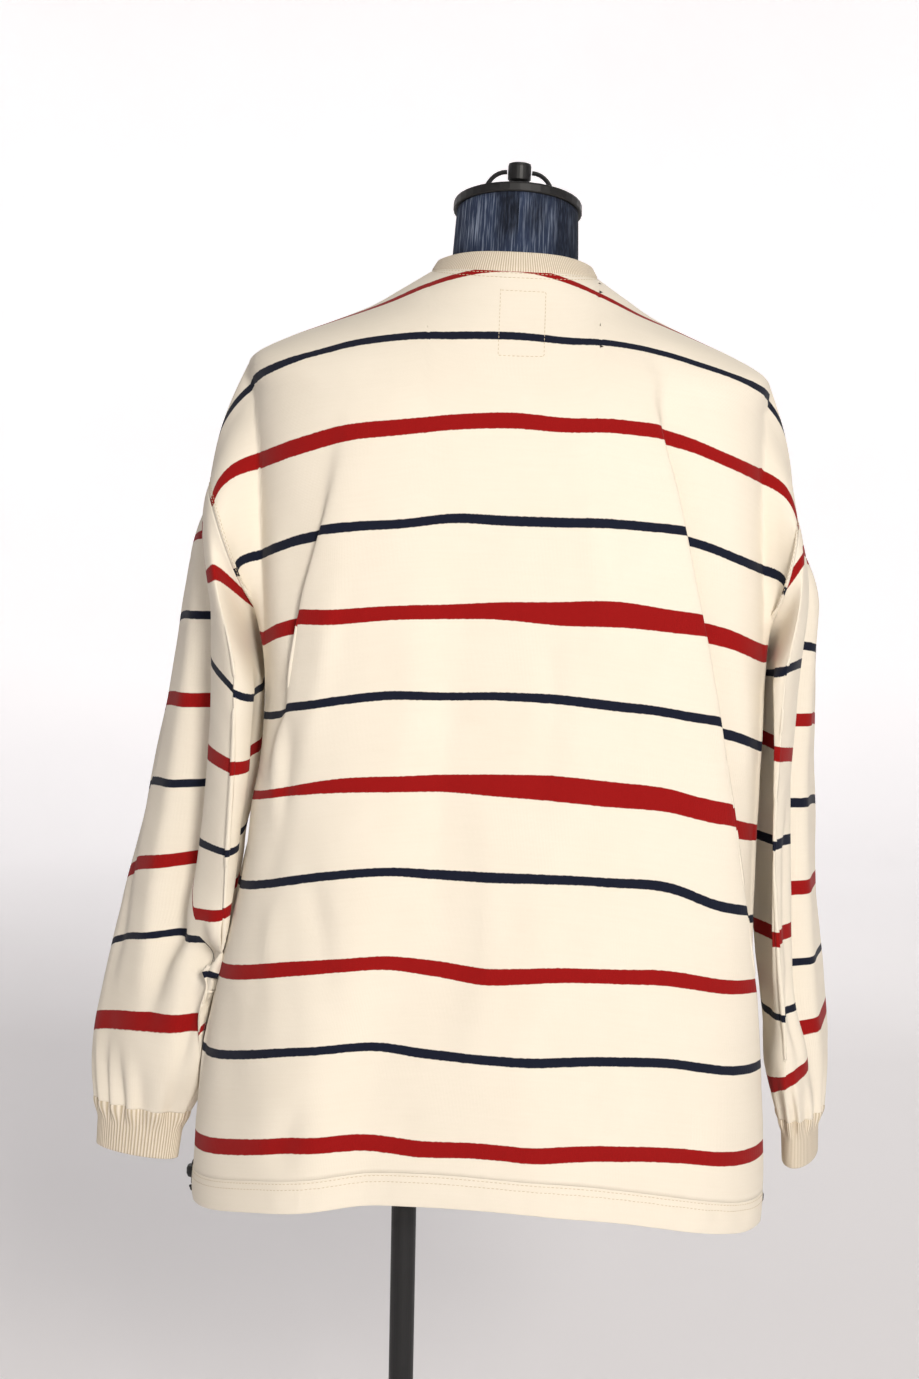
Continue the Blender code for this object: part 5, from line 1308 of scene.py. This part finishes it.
def stitchTree():
    tree = bpy.data.node_groups.new("stitch row", "GeometryNodeTree")
    for name, kind in (("Path", "NodeSocketGeometry"), ("Pitch", "NodeSocketFloat"), ("Length", "NodeSocketFloat"),
                       ("Radius", "NodeSocketFloat"), ("Thread", "NodeSocketMaterial")):
        tree.interface.new_socket(name, in_out="INPUT", socket_type=kind)
    tree.interface.new_socket("Geometry", in_out="OUTPUT", socket_type="NodeSocketGeometry")
    group = tree.nodes.new("NodeGroupInput")
    out = tree.nodes.new("NodeGroupOutput")
    points = addNode(tree, "GeometryNodeCurveToPoints",
                     {"Curve": group.outputs["Path"], "Length": group.outputs["Pitch"]}, mode="LENGTH")
    bead = addNode(tree, "GeometryNodeMeshUVSphere", {"Segments": 6, "Rings": 4, "Radius": 1.0})
    halfLength = addNode(tree, "ShaderNodeMath", {0: group.outputs["Length"], 1: 0.5}, operation="MULTIPLY")
    size = addNode(tree, "ShaderNodeCombineXYZ", {0: group.outputs["Radius"], 1: group.outputs["Radius"],
                                                 2: halfLength.outputs[0]})
    copies = addNode(tree, "GeometryNodeInstanceOnPoints",
                     {"Points": points.outputs["Points"], "Instance": bead.outputs["Mesh"],
                      "Rotation": points.outputs["Rotation"], "Scale": size.outputs[0]})
    real = addNode(tree, "GeometryNodeRealizeInstances", {"Geometry": copies.outputs[0]})
    smooth = addNode(tree, "GeometryNodeSetShadeSmooth", {0: real.outputs[0]})
    finish = addNode(tree, "GeometryNodeSetMaterial",
                     {"Geometry": smooth.outputs[0], "Material": group.outputs["Thread"]})
    tree.links.new(finish.outputs[0], out.inputs["Geometry"])
    return tree


stitchNodes = stitchTree()


def sewRows(name, paths):
    # several rows of stitches as one plain mesh
    curve = bpy.data.curves.new(name, "CURVE")
    curve.dimensions = "3D"
    for path in paths:
        spline = curve.splines.new("POLY")
        spline.points.add(len(path) - 1)
        spline.points.foreach_set("co", np.concatenate([path, np.ones((len(path), 1))], 1).reshape(-1))
    source = bpy.data.objects.new(name + "_path", curve)
    bpy.context.scene.collection.objects.link(source)
    sewing = source.modifiers.new("stitches", "NODES")
    sewing.node_group = stitchNodes
    ids = {item.name: item.identifier for item in stitchNodes.interface.items_tree if item.in_out == "INPUT"}
    sewing[ids["Pitch"]] = stitchSizes["pitch"]
    sewing[ids["Length"]] = stitchSizes["length"]
    sewing[ids["Radius"]] = stitchSizes["radius"]
    sewing[ids["Thread"]] = thread
    bpy.context.view_layer.update()
    mesh = bpy.data.meshes.new_from_object(source.evaluated_get(bpy.context.evaluated_depsgraph_get()))
    bpy.data.objects.remove(source, do_unlink=True)
    piece = addPiece(name, mesh, thread)
    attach(piece, "root")
    print(name, len(mesh.polygons), "faces")


def surfaceLine(surface, across, down):
    # points of a dressed surface at given places on the cut, a hair above it
    grid, columns, rows = surface
    normals = outwardNormals(grid, False)
    result = []
    for a, d in zip(across, down):
        r = 0
        for _ in range(3):
            c = int(np.argmin(np.abs(columns[r] - a)))
            r = int(np.clip(np.searchsorted(rows[:, c], d), 1, len(rows) - 1))
        near = range(max(r - 2, 0), min(r + 2, len(rows)))
        levels = [np.interp(a, columns[k], rows[k]) for k in near]
        spot = [np.interp(d, levels, [np.interp(a, columns[k], grid[k, :, axis]) for k in near]) for axis in range(3)]
        result.append(np.array(spot) + normals[r, c] * stitchSizes["proud"])
    return np.array(result)


def sewAll():
    hemRows = []
    for face in ("back", "front"):
        across = np.linspace(-cut["chestHalf"] + 0.004, cut["chestHalf"] - 0.004, 420)
        for inset in stitchSizes["hemInsets"]:
            down = cut["hem"] - cut["casing"] + inset
            hemRows.append(surfaceLine(panelSurfaces["casing_" + face], across, across * 0 + down))
    sewRows("hem_stitches", hemRows)
    shoulderRows = []
    for side in (1, -1):
        for face in ("back", "front"):
            for inset in stitchSizes["armholeInsets"]:
                down = np.linspace(cut["shoulderDrop"] + 0.004, underarm - 0.012, 90)
                edge = panelEdge(down) - inset
                shoulderRows.append(surfaceLine(panelSurfaces[face], edge * side, down))
    sewRows("armhole_stitches", shoulderRows)
    neckRows = []
    for inset in stitchSizes["neckInsets"]:
        for face in ("back", "front"):
            across = np.linspace(-cut["neckHalf"] * 0.97, cut["neckHalf"] * 0.97, 140)
            down = seamDown(np.abs(across), face) + inset
            neckRows.append(surfaceLine(panelSurfaces[face], across, down))
    sewRows("neck_stitches", neckRows)
    corners = [(labelBox["left"], labelBox["top"]), (labelBox["left"], labelBox["bottom"]),
               (labelBox["right"], labelBox["bottom"]), (labelBox["right"], labelBox["top"]),
               (labelBox["left"], labelBox["top"])]
    boxPath = []
    for first, second in zip(corners[:-1], corners[1:]):
        for t in np.linspace(0, 1, 24)[:-1]:
            boxPath.append((first[0] + (second[0] - first[0]) * t, first[1] + (second[1] - first[1]) * t))
    boxPath = np.array(boxPath)
    sewRows("label_stitches", [surfaceLine(panelSurfaces["back"], boxPath[:, 0], boxPath[:, 1])])


sewAll()

# room and light
roomSizes = {"radius": 6.5, "curve": 2.0, "height": 7.0, "tone": "#F4F2F3", "cloud": "#EFEDEE",
             "glow": 0.56, "glowFrom": -5.6, "glowTo": -2.4}


def makeRoom():
    # pale bowl: flat floor, wide curve and an upright wall all round
    flat = roomSizes["radius"] - roomSizes["curve"]
    profile = [(r, 0.0) for r in (1.0, 2.5, flat)]
    for t in np.linspace(0, pi / 2, 16)[1:]:
        profile.append((flat + roomSizes["curve"] * sin(t), roomSizes["curve"] * (1 - cos(t))))
    profile.append((roomSizes["radius"], roomSizes["height"]))
    count = 96
    verts = [(r * cos(2 * pi * k / count), r * sin(2 * pi * k / count), z) for r, z in profile for k in range(count)]
    verts.append((0.0, 0.0, 0.0))
    faces = [(len(verts) - 1, k, (k + 1) % count) for k in range(count)]
    for ring in range(len(profile) - 1):
        for k in range(count):
            after = (k + 1) % count
            faces.append((ring * count + k, (ring + 1) * count + k, (ring + 1) * count + after, ring * count + after))
    mesh = bpy.data.meshes.new("room")
    mesh.from_pydata(verts, [], faces)
    mesh.shade_smooth()
    material, tree, shader = newMaterial("matt_white_wall")
    coords = addNode(tree, "ShaderNodeTexCoord").outputs["Object"]
    cloud = addNode(tree, "ShaderNodeTexNoise", {"Vector": coords, "Scale": 1.5, "Detail": 3.0})
    tone = addNode(tree, "ShaderNodeMix", {0: cloud, 6: linear(roomSizes["cloud"]), 7: linear(roomSizes["tone"])},
                   data_type="RGBA")
    tree.links.new(tone.outputs[2], shader.inputs["Base Color"])
    tree.links.new(tone.outputs[2], shader.inputs["Emission Color"])
    # the far wall is lit evenly, and the near one is left quiet so that the cloth keeps its shading
    split = addNode(tree, "ShaderNodeSeparateXYZ", {0: coords})
    glow = addNode(tree, "ShaderNodeMapRange", {"Value": split.outputs[1], "From Min": roomSizes["glowFrom"],
                   "From Max": roomSizes["glowTo"], "To Min": roomSizes["glow"], "To Max": 0.0})
    tree.links.new(glow.outputs[0], shader.inputs["Emission Strength"])
    shader.inputs["Roughness"].default_value = 0.95
    shader.inputs["Specular IOR Level"].default_value = 0.1
    room = addPiece("room", mesh, material)


worldLight = {"tone": "#FDFCFA", "strength": 0.18}
# place, aim, width, power in watts, tone
lightSizes = {
    "key": ((-1.0, 3.45, 2.4), (0.0, 0.0, 1.15), 0.9, 112.0, "#FFFAF3"),
    "front": ((0.8, 3.4, 2.0), (0.0, 0.0, 1.1), 2.4, 3.0, "#FFFDF9"),
    "farSide": ((-1.0, -3.4, 2.6), (0.0, 0.0, 1.0), 2.0, 30.0, "#FFFDFA"),
    "top": ((0.0, 0.3, 4.6), (0.0, 0.0, 0.0), 3.6, 7.0, "#FFFFFF"),
}


def makeLight():
    for name, (place, target, size, power, tone) in lightSizes.items():
        data = bpy.data.lights.new(name, "AREA")
        data.shape = "DISK"
        data.size = size
        data.energy = power
        data.color = linear(tone)[:3]
        light = bpy.data.objects.new(name, data)
        light.location = place
        light.rotation_euler = (Vector(target) - Vector(place)).to_track_quat("-Z", "Y").to_euler()
        bpy.context.scene.collection.objects.link(light)
    world = bpy.data.worlds.new("soft daylight")
    bpy.context.scene.world = world
    world.use_nodes = True
    world.node_tree.nodes["Background"].inputs[0].default_value = linear(worldLight["tone"])
    world.node_tree.nodes["Background"].inputs[1].default_value = worldLight["strength"]
    bpy.context.scene.view_settings.view_transform = "Standard"


makeRoom()
makeLight()
